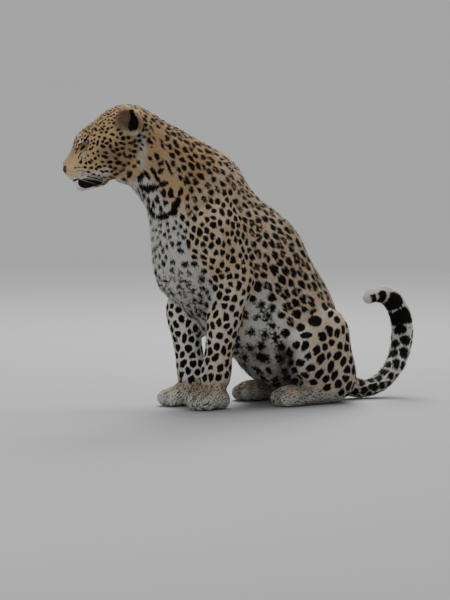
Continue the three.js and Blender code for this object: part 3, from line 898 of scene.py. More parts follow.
FACE_MARKS = (
    (90.5, 130.5, 3.6, 3, 0), (97, 131, 8.5, 2.8, -40), (94, 133.5, 2.8, 2.4, 0),
    (87.5, 133, 3.4, 2.6, 60), (103.5, 130.5, 7, 2.6, -45), (107.5, 134, 3.8, 3.2, -40),
    (101.5, 125, 3.4, 2.8, -40), (98.5, 121.5, 2.9, 2.3, -30), (98, 126, 2.6, 2.2, 0),
    (101, 138.5, 4, 3.4, -30), (106.2, 140.3, 4.2, 3.6, -40), (96, 137, 4.2, 2.6, 0),
    (96, 141, 3.2, 2.6, -60), (99.2, 145, 6.2, 3.3, 80), (104, 148, 6.8, 3.5, -15),
    (111.5, 148, 5.8, 3.6, 88), (111.8, 142, 5.4, 2.8, -60), (117.5, 145.5, 5, 3.8, -60),
    (118.5, 139.5, 3.8, 3, -60), (113.5, 136, 4.8, 3, -20), (94, 149, 3.2, 2.8, 60),
    (92, 146, 2.8, 2.2, 60), (99.5, 153, 3.6, 3.2, 0), (107, 154, 6.2, 2.8, -15),
    (114.5, 153.5, 6, 2.9, -35), (119.8, 156.5, 5.2, 4.6, 0), (123, 150, 4, 3.7, 0),
    (125.5, 156, 7.8, 2.9, -65), (130.5, 152, 4, 3, -50), (134.3, 157.8, 4, 3.3, -50),
    (123, 145.5, 7.8, 2.6, -15), (129, 164, 6, 3, -40), (139.5, 163.5, 4.2, 3.8, 0),
    (135, 167.5, 6, 3.5, 0), (106, 158.5, 7.6, 3.6, -20), (100, 157.5, 3.2, 2.8, 0),
    (94.5, 155.5, 3, 2.3, -30), (93, 162, 4.8, 2.5, -35), (97.5, 165.5, 4.8, 2.6, 60),
    (104, 163, 4.8, 2.8, -20), (111.5, 163.5, 6.8, 3.9, 5), (119.8, 164, 7.2, 5.2, 0),
    (122.5, 171.5, 8, 5.4, 5), (125, 180, 8.5, 6.4, -50), (106, 167.5, 3.8, 2.5, 0),
    (112.5, 172.8, 4.2, 3.8, 0), (112, 178, 5, 2.4, 0), (139, 123, 5, 3.8, 60),
    (143.4, 131, 6.4, 3.6, 80), (141.5, 150.5, 5, 4, 70), (143, 146, 3.8, 3.2, 0),
    (145.5, 121.5, 6.8, 4.4, -30), (153.5, 121.5, 7, 5.4, 0), (146, 113.5, 11, 3.2, -20),
    (150.5, 136, 4.8, 3, -10), (155, 140, 6.6, 2.8, -55), (152, 130.5, 8.8, 2.7, -55),
    (152, 148.5, 3.4, 2.8, 0), (151, 159, 6.2, 3.6, -40), (89, 127, 2.8, 2.4, 50),
    (93, 123.5, 2.6, 2.2, 40), (105, 125, 3.2, 2.4, -40), (84, 137, 3, 2, 60),
)


def place_marks(marks, table, growth, points, normals, both_sides):
    """Lays a table of marks, each by itself on both sides or all joined on the side in view."""
    if not both_sides:
        marks.begin()
    cast = skin_tree(points)
    to_head = head_axes.inverted()
    sides = (1, -1) if both_sides else (1,)
    for across_picture, down, half_long, half_wide, slant in table:
        start = seen_at(across_picture, down) + camera_back * 2
        hit = cast.ray_cast(start, -camera_back)[0]
        if hit is None:
            continue
        turn = math.radians(slant)
        picture_way = camera_right * math.cos(turn) + camera_up * math.sin(turn)
        for side in sides:
            spot = nose_tip + head_axes @ mirror(to_head @ (hit - nose_tip), side)
            way = np.array(head_axes @ mirror(to_head @ picture_way, side))
            i = int(((points - np.array(spot)) ** 2).sum(1).argmin())
            way = way - normals[i] * (normals[i] @ way)
            way /= np.linalg.norm(way)
            if both_sides:
                marks.begin()
            marks.add(points[i], normals[i], way, half_long * growth * MM, half_wide * growth * MM)


def mark_sizes(kinds, head, body, pale):
    """Pitch, half lengths, gap and sharpness of the marks at each point of the skin."""
    sizes = {key: np.full(len(kinds), 5.0) for key in ("pitch", "along", "across", "gap", "sharp")}
    for kind, values in MARKS.items():
        for key, value in values.items():
            sizes[key][kinds == kind] = value
    cheek = step_up(head[:, 2] - 0.25 * head[:, 1], 20, -40)
    under_eye = step_up(ellipsoid(head, (46, 74, 4), (16, 22, 20)), 1.2, 0.8)
    finer = np.where(kinds == "head", 1 + 0.6 * cheek * (1 - under_eye) - 0.42 * under_eye, 1)
    share, _ = along_tail(body, np.zeros_like(body))
    upper_tail = step_up(share, 0.2, 0.6) * (kinds == "tail")
    finer += 0.35 * upper_tail
    front = (kinds == "chest") * step_up(pale, 0.5, 0.9) * step_up(body[:, 1], 60, -20)
    withers = (kinds == "chest") * step_up(body[:, 2] - 0.3 * body[:, 1], 430, 520)
    sizes["pitch"] *= finer * (1 - 0.2 * front) * (1 - 0.15 * withers)
    sizes["along"] *= finer * (1 - 0.42 * front) * (1 - 0.12 * withers)
    sizes["across"] *= finer * (1 - 0.35 * front) * (1 - 0.28 * withers)
    sizes["across"][kinds == "head"] *= (1 - 0.35 * under_eye)[kinds == "head"]
    soft = np.isin(kinds, ("chest", "hips")) * step_up(pale, 0.6, 0.95)
    soft *= step_up(body[:, 2], 420, 330)
    sizes["sharp"] *= 1 - 0.83 * soft
    sizes["pitch"] *= 1 + 0.12 * soft
    return sizes


def lay_marks(points, normals, lie, owner, pale, plain):
    kinds = kinds_of(owner)
    head = head_coordinates(points)
    sizes = mark_sizes(kinds, head, body_coordinates(points), pale)
    bare_nose = (head[:, 1] < 50) | (ellipsoid(head, (0, 30, 20), (24, 44, 32)) < 1)
    around_eye = around_lids(folded(head))[0] < 1.9
    chin = (pale > 0.5) & (head[:, 1] < 80) & (head[:, 2] < -20)
    allowed = ~((kinds == "head") & (bare_nose | around_eye | chin)) & (kinds != "ear") & ~plain

    marks = Marks()
    place_marks(marks, FACE_MARKS, FACE_MARK_GROWTH, points, normals, True)
    place_marks(marks, BODY_MARKS, 1, points, normals, False)
    placed, _ = distance_to_marks(points, normals, marks, PLACED_REACH)
    room = np.where(np.isin(kinds, ("head", "tail")), CLOSE_ROOM, BODY_ROOM)
    allowed &= placed > np.minimum(room * sizes["pitch"], PLACED_ROOM)

    cores = Marks()
    for i in thrown_seeds(points, normals, sizes["pitch"] * MM, allowed):
        long = sizes["along"][i] * MM * chance.uniform(0.8, 1.2)
        wide = sizes["across"][i] * MM * chance.uniform(0.8, 1.2)
        turn = chance.normal(0, 0.25)
        if kinds[i] == "neck":
            turn -= NECK_MARK_TURN * math.copysign(1, normals[i, 0])
        spot = Spot(points[i], normals[i], lie[i], long, wide)
        marks.begin()
        if kinds[i] in ("hips", "chest") and pale[i] < 0.6 and chance.random() < RINGED_SHARE:
            spot.add_ring(marks)
            cores.begin()
            cores.add(spot.centre, spot.normal, spot.way, long * 0.8, wide * 0.8, turn)
        else:
            marks.add(spot.centre, spot.normal, spot.way, long * 0.9, wide * 0.92, turn)
            spot.add_lobes(marks)
    whisker_rows(marks, points, normals, lie)
    return marks, cores, sizes


WHISKER_ROWS = (-9, -15.5, -22, -28.5)
WHISKER_ROW_FALL = 0.2


def on_whisker_pad(side, row, back):
    return np.array((side * (20 + 0.42 * back), back, WHISKER_ROWS[row] - WHISKER_ROW_FALL * back))


def whisker_rows(marks, points, normals, lie):
    head = head_coordinates(points)
    for side in (1, -1):
        for row in range(len(WHISKER_ROWS)):
            marks.begin()
            for step in range(7):
                target = on_whisker_pad(side, row, 12 + step * 6 + row)
                i = int(((head - target) ** 2).sum(1).argmin())
                marks.add(points[i], normals[i], lie[i], 3.3 * MM, 1.0 * MM)


def skin_tree(points):
    mesh = bpy.data.objects["skin"].data
    return BVHTree.FromPolygons(points.tolist(), [tuple(p.vertices) for p in mesh.polygons])


def distance_to_marks(points, normals, marks, reach):
    """Millimetres to the edge of the nearest mark, negative inside it, and to the next one's."""
    first = np.full(len(points), float(reach))
    second = first.copy()
    keys = np.floor(points / CELL).astype(int)
    low = keys.min(0)
    size = keys.max(0) - low + 1
    flat = np.ravel_multi_index((keys - low).T, size)
    order = np.argsort(flat, kind="stable")
    starts = np.searchsorted(flat[order], np.arange(np.prod(size) + 1))
    for group in marks.groups:
        if not group:
            continue
        middle = group[0][0]
        room = reach * MM
        room += max(np.linalg.norm(row[0] - middle) + max(row[4], row[5]) for row in group)
        bottom = np.maximum(np.floor((middle - room) / CELL).astype(int) - low, 0)
        top = np.minimum(np.floor((middle + room) / CELL).astype(int) - low, size - 1)
        near = []
        for x in range(bottom[0], top[0] + 1):
            for y in range(bottom[1], top[1] + 1):
                row = (x * size[1] + y) * size[2]
                near.append(order[starts[row + bottom[2]]:starts[row + top[2] + 1]])
        if not near:
            continue
        near = np.concatenate(near)
        nearest = np.full(len(near), float(reach))
        for centre, normal, a, b, along, across in group:
            gap = points[near] - centre
            height = gap @ normal
            flat_part = (gap @ a / along) ** 2 + (gap @ b / across) ** 2
            rounds = np.sqrt(flat_part + (height / (2.2 * along)) ** 2)
            distance = (rounds - 1) * min(along, across) / MM
            distance[normals[near] @ normal < 0.15] = reach
            nearest = np.minimum(nearest, distance)
        second[near] = np.minimum(second[near], np.maximum(first[near], nearest))
        first[near] = np.minimum(first[near], nearest)
    return first, second


def mark_value(points, normals, marks, gap, sharp):
    """Under 0 inside a mark, with a pale line kept where two marks meet."""
    first, second = distance_to_marks(points, normals, marks, MARK_REACH)
    return np.maximum(first, gap - (second - first)) * sharp


def store(mesh, name, values):
    attribute = mesh.attributes.new(name, "FLOAT", "POINT")
    attribute.data.foreach_set("value", values.astype(np.float32))


# Of these, the grey value laid over the ground is painted shade under the body and between the
# toes, and greyer tone on the head
MARK_VALUES = ("mark", "core", "pale", "red", "dark", "shade")


def paint_skin(skin, web):
    mesh = skin.data
    points = points_of(mesh)
    normals = unit(web.spread(normals_of(mesh), 3))
    owner = nearest_flesh(points)
    lie = lie_of_coat(points, normals, owner, web)
    ground = ground_colour(points, unit(web.spread(normals, WIDE_SPREAD)), owner)
    on_the_head = np.isin(kinds_of(owner), ("head", "ear"))
    pale = np.where(on_the_head, web.spread(ground["pale"], 4), web.spread(ground["pale"], 16))
    marks, cores, sizes = lay_marks(points, normals, lie, owner, pale, ground["plain"])
    sharp = web.spread(sizes["sharp"], NEAR_SPREAD)
    values = {
        "mark": mark_value(points, normals, marks, sizes["gap"], sharp),
        "core": distance_to_marks(points, normals, cores, CORE_REACH)[0],
        "gap": sizes["gap"],
        "sharp": sharp,
        "pale": pale,
        "red": web.spread(ground["red"], 5),
        "dark": ground["dark"],
        "shade": web.spread(ground["shade"], 8),
        "inner": ground["inner"],
    }
    for name in MARK_VALUES:
        store(mesh, name, values[name])
    values.update(points=points, normals=normals, lie=lie, owner=owner)
    return values, marks


# Coat: thin curved tufts, each a closed blade of ten triangles

TUFTS_TO_A_PIECE = 19000
SINK = 0.5 * MM
FLOOR_CLEAR = 0.4 * MM
SQUARE_CM = 1e4  # in a square metre
SHORTEST = 1.5  # millimetres; no tuft grows where the coat is shorter
LOWEST_ROOT = 2.5 * MM
# How tufts differ: shares of the length, width and lift given, and their turns to either side
LENGTHS = (0.7, 1.2)
WIDTHS = (0.75, 1.2)
LIFTS = (0.45, 1.45)
SWING = 0.16
BEND = 0.1
# The seven points of a blade are three at its root, three half way and its tip
ALONG_BLADE = (0, 0, 0, 0.5, 0.5, 0.5, 1)
BLADE = np.array((
    (0, 1, 4), (0, 4, 3), (1, 2, 5), (1, 5, 4), (2, 0, 3), (2, 3, 5),
    (3, 4, 6), (4, 5, 6), (5, 3, 6), (0, 2, 1),
))
BLADE_UV = np.array(((-1, -1), (1, -1), (0, -0.8), (-0.8, 0.1), (0.8, 0.1), (0, 0.2), (0, 1)))
PATCH = 0.0015  # half the width of each tuft's place on the unwrapped skin


def corners_of(mesh):
    mesh.calc_loop_triangles()
    count = len(mesh.loop_triangles)
    verts = np.empty(count * 3, np.int32)
    loops = np.empty(count * 3, np.int32)
    mesh.loop_triangles.foreach_get("vertices", verts)
    mesh.loop_triangles.foreach_get("loops", loops)
    return verts.reshape(-1, 3), loops.reshape(-1, 3)


def sow(skin, values, web, marks):
    """Roots spread over the skin by the thickness of the coat, with the skin's values at each."""
    mesh = skin.data
    verts, loops = corners_of(mesh)
    uv = np.empty(len(mesh.loops) * 2, np.float32)
    mesh.uv_layers["OFBake"].data.foreach_get("uv", uv)
    uv = uv.reshape(-1, 2)
    first, second, third = (values["points"][column] for column in verts.T)
    area = np.linalg.norm(np.cross(second - first, third - first), axis=1) / 2
    grown = {
        key: web.spread(by_kind(values["owner"], key), COAT_SPREAD)
        for key in ("length", "width", "lift", "dense")
    }
    longer_coat(values, grown)
    wanted = area * SQUARE_CM * grown["dense"][verts].mean(1)
    count = np.floor(wanted + chance.random(len(wanted))).astype(int)
    face = np.repeat(np.arange(len(count)), count)
    share = chance.dirichlet((1, 1, 1), len(face))
    at = verts[face]

    def blend(value):
        if value.ndim == 1:
            return (value[at] * share).sum(1)
        return (value[at] * share[:, :, None]).sum(1)

    roots = {key: blend(value) for key, value in values.items() if key != "owner"}
    roots.update({key: blend(value) for key, value in grown.items()})
    roots["uv"] = (uv[loops[face]] * share[:, :, None]).sum(1)
    roots["normals"] = unit(roots["normals"])
    roots["lie"] = unit(roots["lie"])
    keep = (roots["length"] > SHORTEST) & (roots["points"][:, 2] > LOWEST_ROOT)
    roots = {key: value[keep] for key, value in roots.items()}
    roots["mark"] = mark_value(
        roots["points"], roots["normals"], marks, roots["gap"], roots["sharp"]
    )
    return roots


def longer_coat(values, grown):
    """Longer hair on the throat, chest and belly, shorter on the face, none on lips and lids."""
    head = head_coordinates(values["points"])
    half_head = folded(head)
    kinds = kinds_of(values["owner"])
    loose = values["pale"] * np.isin(kinds, ("neck", "chest", "hips"))
    grown["length"] *= 1 + 0.6 * loose
    grown["lift"] *= 1 + 0.35 * loose
    on_the_head = kinds == "head"
    face = np.where(on_the_head, step_up(head[:, 1], 20, 110), 1)
    grown["length"] *= 0.45 + 0.55 * face
    grown["width"] *= 0.7 + 0.3 * face
    cheek = on_the_head * step_up(head[:, 1], 90, 130) * step_up(head[:, 2], 20, -30)
    grown["length"] *= 1 + 0.9 * cheek
    grown["lift"] *= 1 + 0.3 * cheek
    below_jaw = on_the_head * step_up(head[:, 2] + 0.3 * head[:, 1], -52, -63)
    grown["length"] *= 1 + 1.4 * below_jaw
    grown["lift"] *= 1 + 0.6 * below_jaw
    lids = around_lids(half_head)[0] < 1.3
    lips = distance_to_line(half_head, LIPS) < 3
    nose = head[:, 1] < 6
    grown["length"][on_the_head & (lids | lips | nose)] = 0
    grown["length"] *= 1 + 1.2 * values["inner"]
    grown["lift"] *= 1 + values["inner"]


def tuft_mesh(title, roots, chosen):
    count = len(chosen)
    normal = roots["normals"][chosen]
    swing = chance.normal(0, SWING, count)[:, None]
    lie = roots["lie"][chosen]
    cross = np.cross(normal, lie)
    way = unit(lie + cross * swing)
    cross = np.cross(normal, way)
    length = (roots["length"][chosen] * chance.uniform(*LENGTHS, count) * MM)[:, None]
    width = (roots["width"][chosen] * chance.uniform(*WIDTHS, count) * MM)[:, None] / 2
    lift = (roots["lift"][chosen] * chance.uniform(*LIFTS, count))[:, None]
    bend = chance.normal(0, BEND, count)[:, None]
    root = roots["points"][chosen] - normal * SINK - way * length * 0.45
    middle = root + way * length * 0.5 + normal * (length * lift * 0.62 + SINK)
    tip = root + way * length * 0.97 + cross * length * bend
    tip += normal * (length * lift * 0.9 + SINK * 0.6)
    ridge = width * 0.55
    places = np.stack([
        root - cross * width * 0.8,
        root + cross * width * 0.8,
        root + normal * ridge,
        middle - cross * width,
        middle + cross * width,
        middle + normal * ridge,
        tip,
    ], 1)
    places[:, :, 2] = np.maximum(places[:, :, 2], FLOOR_CLEAR)
    faces = (BLADE[None] + np.arange(count)[:, None, None] * 7).reshape(-1, 3)
    mesh = bpy.data.meshes.new(title)
    mesh.vertices.add(count * 7)
    mesh.vertices.foreach_set("co", places.ravel())
    mesh.loops.add(len(faces) * 3)
    mesh.loops.foreach_set("vertex_index", faces.ravel())
    mesh.polygons.add(len(faces))
    mesh.polygons.foreach_set("loop_start", np.arange(len(faces)) * 3)
    mesh.update(calc_edges=True)
    mesh.shade_smooth()
    for name in MARK_VALUES:
        store(mesh, name, np.repeat(roots[name][chosen], 7))
    tone = chance.normal(0, 1, count) * (1 + 3 * roots["inner"][chosen])
    store(mesh, "tone", np.repeat(tone, 7))
    store(mesh, "along", np.tile(ALONG_BLADE, count))
    uv = roots["uv"][chosen][:, None, :] + BLADE_UV[None] * PATCH
    layer = mesh.uv_layers.new(name="OFBake")
    layer.data.foreach_set("uv", uv.reshape(-1, 2)[faces.ravel()].astype(np.float32).ravel())
    return add_object(title, mesh)


def grow_coat(roots, finish):
    order = chance.permutation(len(roots["length"]))
    for i, chosen in enumerate(np.array_split(order, math.ceil(len(order) / TUFTS_TO_A_PIECE))):
        piece = tuft_mesh(f"coat_{i + 1}", roots, chosen)
        piece.data.materials.append(finish)
        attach(piece, "root")


# Finishes

GOLD = (0.7, 0.49, 0.262, 1)
DEEP_GOLD = (0.5, 0.305, 0.135, 1)
CREAM = (0.8, 0.785, 0.74, 1)
RED_BROWN = (0.30, 0.17, 0.08, 1)
# Grey of the painted shade, and of the head's greyer tone
GREY = (0.085, 0.075, 0.066, 1)
BLACK = (0.009, 0.006, 0.0045, 1)
# Amber iris, darkened as painted shade of the upper lid
IRIS = (0.15, 0.095, 0.022, 1)
IRIS_STREAK = (0.25, 0.19, 0.06, 1)
IRIS_RIM = (0.03, 0.02, 0.01, 1)
EYE_EDGE = (0.05, 0.036, 0.026, 1)
PUPIL = (0.002, 0.002, 0.002, 1)
NOSE_LEATHER = (0.022, 0.013, 0.010, 1)
NOSE_WORN = (0.075, 0.035, 0.026, 1)
WHISKER = (0.80, 0.78, 0.74, 1)
WHISKER_GREY = (0.62, 0.60, 0.56, 1)
FLOOR_DARK = (0.3, 0.3, 0.3, 1)
FLOOR_LIGHT = (0.32, 0.32, 0.32, 1)
SKY = (0.88, 0.90, 0.93, 1)
SKY_STRENGTH = 0.37


class Nodes:
    """Short ways to add and join the nodes of one tree."""

    def __init__(self, tree):
        self.tree = tree

    def add(self, kind, **settings):
        node = self.tree.nodes.new(kind)
        for key, value in settings.items():
            setattr(node, key, value)
        return node

    def join(self, out, into):
        self.tree.links.new(out, into)

    def value(self, kind, a, b=None, c=None):
        node = self.add("ShaderNodeMath", operation=kind)
        for socket, given in zip(node.inputs, (a, b, c)):
            self.feed(socket, given)
        return node.outputs[0]

    def feed(self, socket, given):
        if given is None:
            return
        if isinstance(given, (int, float, tuple)):
            socket.default_value = given
        else:
            self.join(given, socket)

    def mix(self, share, a, b, blend="MIX"):
        node = self.add("ShaderNodeMix", data_type="RGBA", blend_type=blend)
        self.feed(node.inputs[0], share)
        self.feed(node.inputs[6], a)
        self.feed(node.inputs[7], b)
        return node.outputs[2]

    def ramp(self, value, low, high, to_low=0.0, to_high=1.0):
        node = self.add("ShaderNodeMapRange", interpolation_type="SMOOTHSTEP")
        self.feed(node.inputs[0], value)
        for socket, given in zip(list(node.inputs)[1:5], (low, high, to_low, to_high)):
            self.feed(socket, given)
        return node.outputs[0]

    def noise(self, place, scale, detail=2.0, rough=0.5):
        node = self.add("ShaderNodeTexNoise")
        self.join(place, node.inputs["Vector"])
        node.inputs["Scale"].default_value = scale
        node.inputs["Detail"].default_value = detail
        node.inputs["Roughness"].default_value = rough
        return node.outputs[0]

    def place(self):
        return self.add("ShaderNodeTexCoord").outputs["Object"]

    def attribute(self, name):
        return self.add("ShaderNodeAttribute", attribute_name=name).outputs["Fac"]


def new_group(title, inputs, outputs):
    tree = bpy.data.node_groups.new(title, "ShaderNodeTree")
    for name, kind in inputs:
        tree.interface.new_socket(name, in_out="INPUT", socket_type=kind)
    for name, kind in outputs:
        tree.interface.new_socket(name, in_out="OUTPUT", socket_type=kind)
    make = Nodes(tree)
    return make, make.add("NodeGroupInput").outputs, make.add("NodeGroupOutput").inputs


def coat_colour_group():
    """The colour of the coat from its marks, its ground and the painted shade laid on it, the same
    on skin and tufts.
    """
    inputs = [name.capitalize() for name in MARK_VALUES] + ["Tone", "Tip"]
    make, given, out = new_group(
        "coat_colour",
        [(name, "NodeSocketFloat") for name in inputs],
        [("Color", "NodeSocketColor"), ("Black", "NodeSocketFloat")],
    )
    place = make.place()
    wander = make.value("MULTIPLY_ADD", make.noise(place, 120, 1), 5.5, -2.75)
    shifted = make.value("MULTIPLY_ADD", make.noise(place, 420, 2), 2.0, wander)
    shifted = make.value("SUBTRACT", shifted, 1.0)
    broad = make.noise(place, 9, 2)
    edge = make.value("ADD", given["Mark"], shifted)
    black = make.ramp(edge, 0.8, -0.6)
    core = make.ramp(make.value("ADD", given["Core"], shifted), 1, -1)
    gold = make.mix(make.ramp(broad, 0.35, 0.65), GOLD, DEEP_GOLD)
    gold = make.mix(0.55, gold, GOLD)
    mottled = make.value("MULTIPLY_ADD", make.noise(place, 60, 3), 0.7, -0.35)
    paleness = make.ramp(make.value("ADD", given["Pale"], mottled), 0.05, 0.9)
    ground = make.mix(paleness, gold, CREAM)
    ground = make.mix(make.value("MULTIPLY", core, 0.6), ground, DEEP_GOLD)
    ground = make.mix(given["Red"], ground, RED_BROWN)
    # Painted shade, and the head's greyer tone: grey laid over the ground in soft patches
    smudge = make.value("MULTIPLY_ADD", make.ramp(make.noise(place, 34, 3), 0.3, 0.7), 0.8, 0.45)
    ground = make.mix(make.value("MULTIPLY", given["Shade"], smudge), ground, GREY)
    # Each tuft's own random tone, and its tip lighter as painted light shining through the hair
    lighter = make.value("MULTIPLY_ADD", given["Tone"], 0.1, 1.0)
    lighter = make.value("MULTIPLY_ADD", given["Tip"], 0.2, lighter)
    shaded = make.mix(1.0, ground, grey_of(make, lighter), "MULTIPLY")
    solid = make.ramp(make.value("MULTIPLY_ADD", shifted, -0.06, given["Dark"]), 0.3, 0.6)
    black = make.value("MAXIMUM", black, solid)
    colour = make.mix(black, shaded, BLACK)
    make.join(colour, out["Color"])
    make.join(black, out["Black"])
    return make.tree


def grey_of(make, value):
    node = make.add("ShaderNodeCombineColor")
    for socket in node.inputs[:3]:
        make.join(value, socket)
    return node.outputs[0]


def new_finish(title):
    finish = bpy.data.materials.new(title)
    finish.use_nodes = True
    make = Nodes(finish.node_tree)
    return finish, make, finish.node_tree.nodes["Principled BSDF"]


def add_bump(make, shader, height, strength, distance):
    bump = make.add("ShaderNodeBump")
    bump.inputs["Strength"].default_value = strength
    bump.inputs["Distance"].default_value = distance
    make.join(height, bump.inputs["Height"])
    make.join(bump.outputs[0], shader.inputs["Normal"])


def coat_finish(title, group, tufts):
    finish, make, shader = new_finish(title)
    colour = make.add("ShaderNodeGroup")
    colour.node_tree = group
    for name in MARK_VALUES:
        make.join(make.attribute(name), colour.inputs[name.capitalize()])
    if tufts:
        make.join(make.attribute("tone"), colour.inputs["Tone"])
        make.join(make.attribute("along"), colour.inputs["Tip"])
    make.join(colour.outputs["Color"], shader.inputs["Base Color"])
    shader.inputs["Roughness"].default_value = 0.62 if tufts else 0.8
    shader.inputs["Specular IOR Level"].default_value = 0.16
    sheen = make.value("MULTIPLY_ADD", colour.outputs["Black"], -0.16, 0.18)
    make.join(sheen, shader.inputs["Sheen Weight"])
    shader.inputs["Sheen Roughness"].default_value = 0.5
    if not tufts:
        add_bump(make, shader, make.noise(make.place(), 700, 3, 0.6), 0.5, 1.0 * MM)
    return finish


def eye_finish():
    finish, make, shader = new_finish("eye")
    angle = make.attribute("from_gaze")
    streaks = make.noise(make.place(), 1400, 3, 0.7)
    # The iris's own amber, darkened, and its dark rim widened, as painted shade of the lids
    iris = make.mix(make.ramp(streaks, 0.3, 0.7), IRIS, IRIS_STREAK)
    iris = make.mix(make.ramp(angle, 22, 31), iris, IRIS_RIM)
    colour = make.mix(make.ramp(angle, 11, 13), PUPIL, iris)
    colour = make.mix(make.ramp(angle, 39, 43), colour, EYE_EDGE)
    make.join(colour, shader.inputs["Base Color"])
    shader.inputs["Roughness"].default_value = 0.25
    shader.inputs["Coat Weight"].default_value = 0.7
    shader.inputs["Coat Roughness"].default_value = 0.03
    return finish


def nose_finish():
    finish, make, shader = new_finish("nose_skin")
    place = make.place()
    pebbles = make.add("ShaderNodeTexVoronoi", feature="SMOOTH_F1")
    make.join(place, pebbles.inputs["Vector"])
    pebbles.inputs["Scale"].default_value = 900
    tint = make.noise(place, 120, 2)
    colour = make.mix(make.ramp(tint, 0.35, 0.65), NOSE_LEATHER, NOSE_WORN)
    make.join(colour, shader.inputs["Base Color"])
    shader.inputs["Roughness"].default_value = 0.42
    add_bump(make, shader, pebbles.outputs[0], 0.35, 0.6 * MM)
    return finish


def whisker_finish():
    finish, make, shader = new_finish("whisker")
    tint = make.noise(make.place(), 60, 2)
    colour = make.mix(tint, WHISKER, WHISKER_GREY)
    make.join(colour, shader.inputs["Base Color"])
    shader.inputs["Roughness"].default_value = 0.35
    return finish


def floor_finish():
    finish, make, shader = new_finish("floor")
    tint = make.noise(make.place(), 0.6, 3)
    colour = make.mix(tint, FLOOR_DARK, FLOOR_LIGHT)
    make.join(colour, shader.inputs["Base Color"])
    shader.inputs["Roughness"].default_value = 0.9
    return finish


# Eyes, nose pad and whiskers

WHISKER_SIDES = 5
WHISKER_STEPS = 9
WHISKER_LENGTHS = (48, 76)
BROW_LENGTHS = (24, 36)
FAR_SIDE_SHARE = 0.72  # how long the whiskers are on the side that the camera doesn't see


def make_eye(side, finish):
    name = "eye_left" if side > 0 else "eye_right"
    deselect()
    bpy.ops.mesh.primitive_uv_sphere_add(segments=40, ring_count=28, radius=EYE_RADIUS * MM)
    piece = bpy.context.object
    piece.name = f"{name}ball"
    piece.data.name = piece.name
    gaze = head_axes @ mirror(GAZE, side)
    turn = gaze.to_track_quat("Z", "Y").to_matrix()
    points = points_of(piece.data)
    angle = np.degrees(np.arccos(np.clip(points[:, 2] / np.linalg.norm(points, axis=1), -1, 1)))
    cornea = 1 + 0.05 * step_up(angle, 46, 12)
    points = (points * cornea[:, None]) @ np.array(turn).T + np.array(middle_of(name))
    move_points(piece.data, points)
    store(piece.data, "from_gaze", angle)
    piece.data.shade_smooth()
    piece.data.materials.append(finish)
    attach(piece, "root")
    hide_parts(name)


def make_nose(finish):
    piece = joined_copy(("nose",), "nose_pad", 0.0)
    apply_modifier(piece, "REMESH", mode="VOXEL", voxel_size=0.9 * MM)
    apply_modifier(piece, "SMOOTH", factor=0.5, iterations=4)
    piece.data.shade_smooth()
    piece.data.materials.append(finish)
    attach(piece, "root")
    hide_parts("nose")


def whisker_paths(points):
    """Roots on the whisker rows and the way each whisker leaves, bends and ends."""
    head = head_coordinates(points)
    paths = []
    for side in (1, -1):
        for row in range(len(WHISKER_ROWS)):
            for step in range(4):
                target = on_whisker_pad(side, row, 20 + step * 8 + row * 1.5)
                root = head[((head - target) ** 2).sum(1).argmin()]
                length = chance.uniform(*WHISKER_LENGTHS) * (1 if side > 0 else FAR_SIDE_SHARE)
                outwards = side * chance.uniform(0.28, 0.5)
                way = np.array((outwards, 0.66, -0.58 + chance.normal(0, 0.1)))
                droop = np.array((0, 0.08, -chance.uniform(0.02, 0.2)))
                paths.append((root, way / np.linalg.norm(way), droop, length))
        for step in range(4):
            target = np.array((side * (27 + 3 * step), 66 + 5 * step, 54))
            root = head[((head - target) ** 2).sum(1).argmin()]
            way = np.array((side * 0.5, 0.35, 0.75))
            droop = np.array((side * 0.1, 0.4, -0.1))
            paths.append((root, way / np.linalg.norm(way), droop, chance.uniform(*BROW_LENGTHS)))
    return paths


def make_whiskers(points, finish):
    verts = []
    faces = []
    for root, way, droop, length in whisker_paths(points):
        side_way = np.cross(way, (0, 0, 1.0))
        side_way /= np.linalg.norm(side_way)
        up = np.cross(side_way, way)
        start = len(verts)
        for i in range(WHISKER_STEPS):
            t = i / WHISKER_STEPS
            centre = root + (way * t + droop * t * t) * length - way * 1.5 * (i == 0)
            radius = 0.42 * (1 - t) + 0.08
            for j in range(WHISKER_SIDES):
                angle = 2 * math.pi * j / WHISKER_SIDES
                point = centre + side_way * radius * math.cos(angle) + up * radius * math.sin(angle)
                verts.append(on_head(point))
        verts.append(on_head(root + (way + droop) * length))
        tip = len(verts) - 1
        for i in range(WHISKER_STEPS - 1):
            for j in range(WHISKER_SIDES):
                a = start + i * WHISKER_SIDES + j
                b = start + i * WHISKER_SIDES + (j + 1) % WHISKER_SIDES
                faces.append((a, a + WHISKER_SIDES, b + WHISKER_SIDES, b))
        last = start + (WHISKER_STEPS - 1) * WHISKER_SIDES
        for j in range(WHISKER_SIDES):
            faces.append((last + j, tip, last + (j + 1) % WHISKER_SIDES))
        faces.append(tuple(start + j for j in range(WHISKER_SIDES)))
    mesh = bpy.data.meshes.new("whiskers")
    mesh.from_pydata([tuple(v) for v in verts], [], faces)
    shape = bmesh.new()
    shape.from_mesh(mesh)
    bmesh.ops.recalc_face_normals(shape, faces=shape.faces)
    shape.to_mesh(mesh)
    shape.free()
    mesh.shade_smooth()
    mesh.materials.append(finish)
    piece = add_object("whiskers", mesh)
    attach(piece, "root")


# Floor and lights


def add_light(title, place, aim, size, power):
    data = bpy.data.lights.new(title, "AREA")
    data.shape = "DISK"
    data.size = size
    data.energy = power
    light = add_object(title, data)
    light.location = place
    light.rotation_euler = facing(place - aim)


def add_sky_light(title, towards, spread, strength):
    """Even light from one side of the sky, the same all over the floor."""
    data = bpy.data.lights.new(title, "SUN")
    data.angle = math.radians(spread)
    data.energy = strength
    light = add_object(title, data)
    light.rotation_euler = facing(towards)


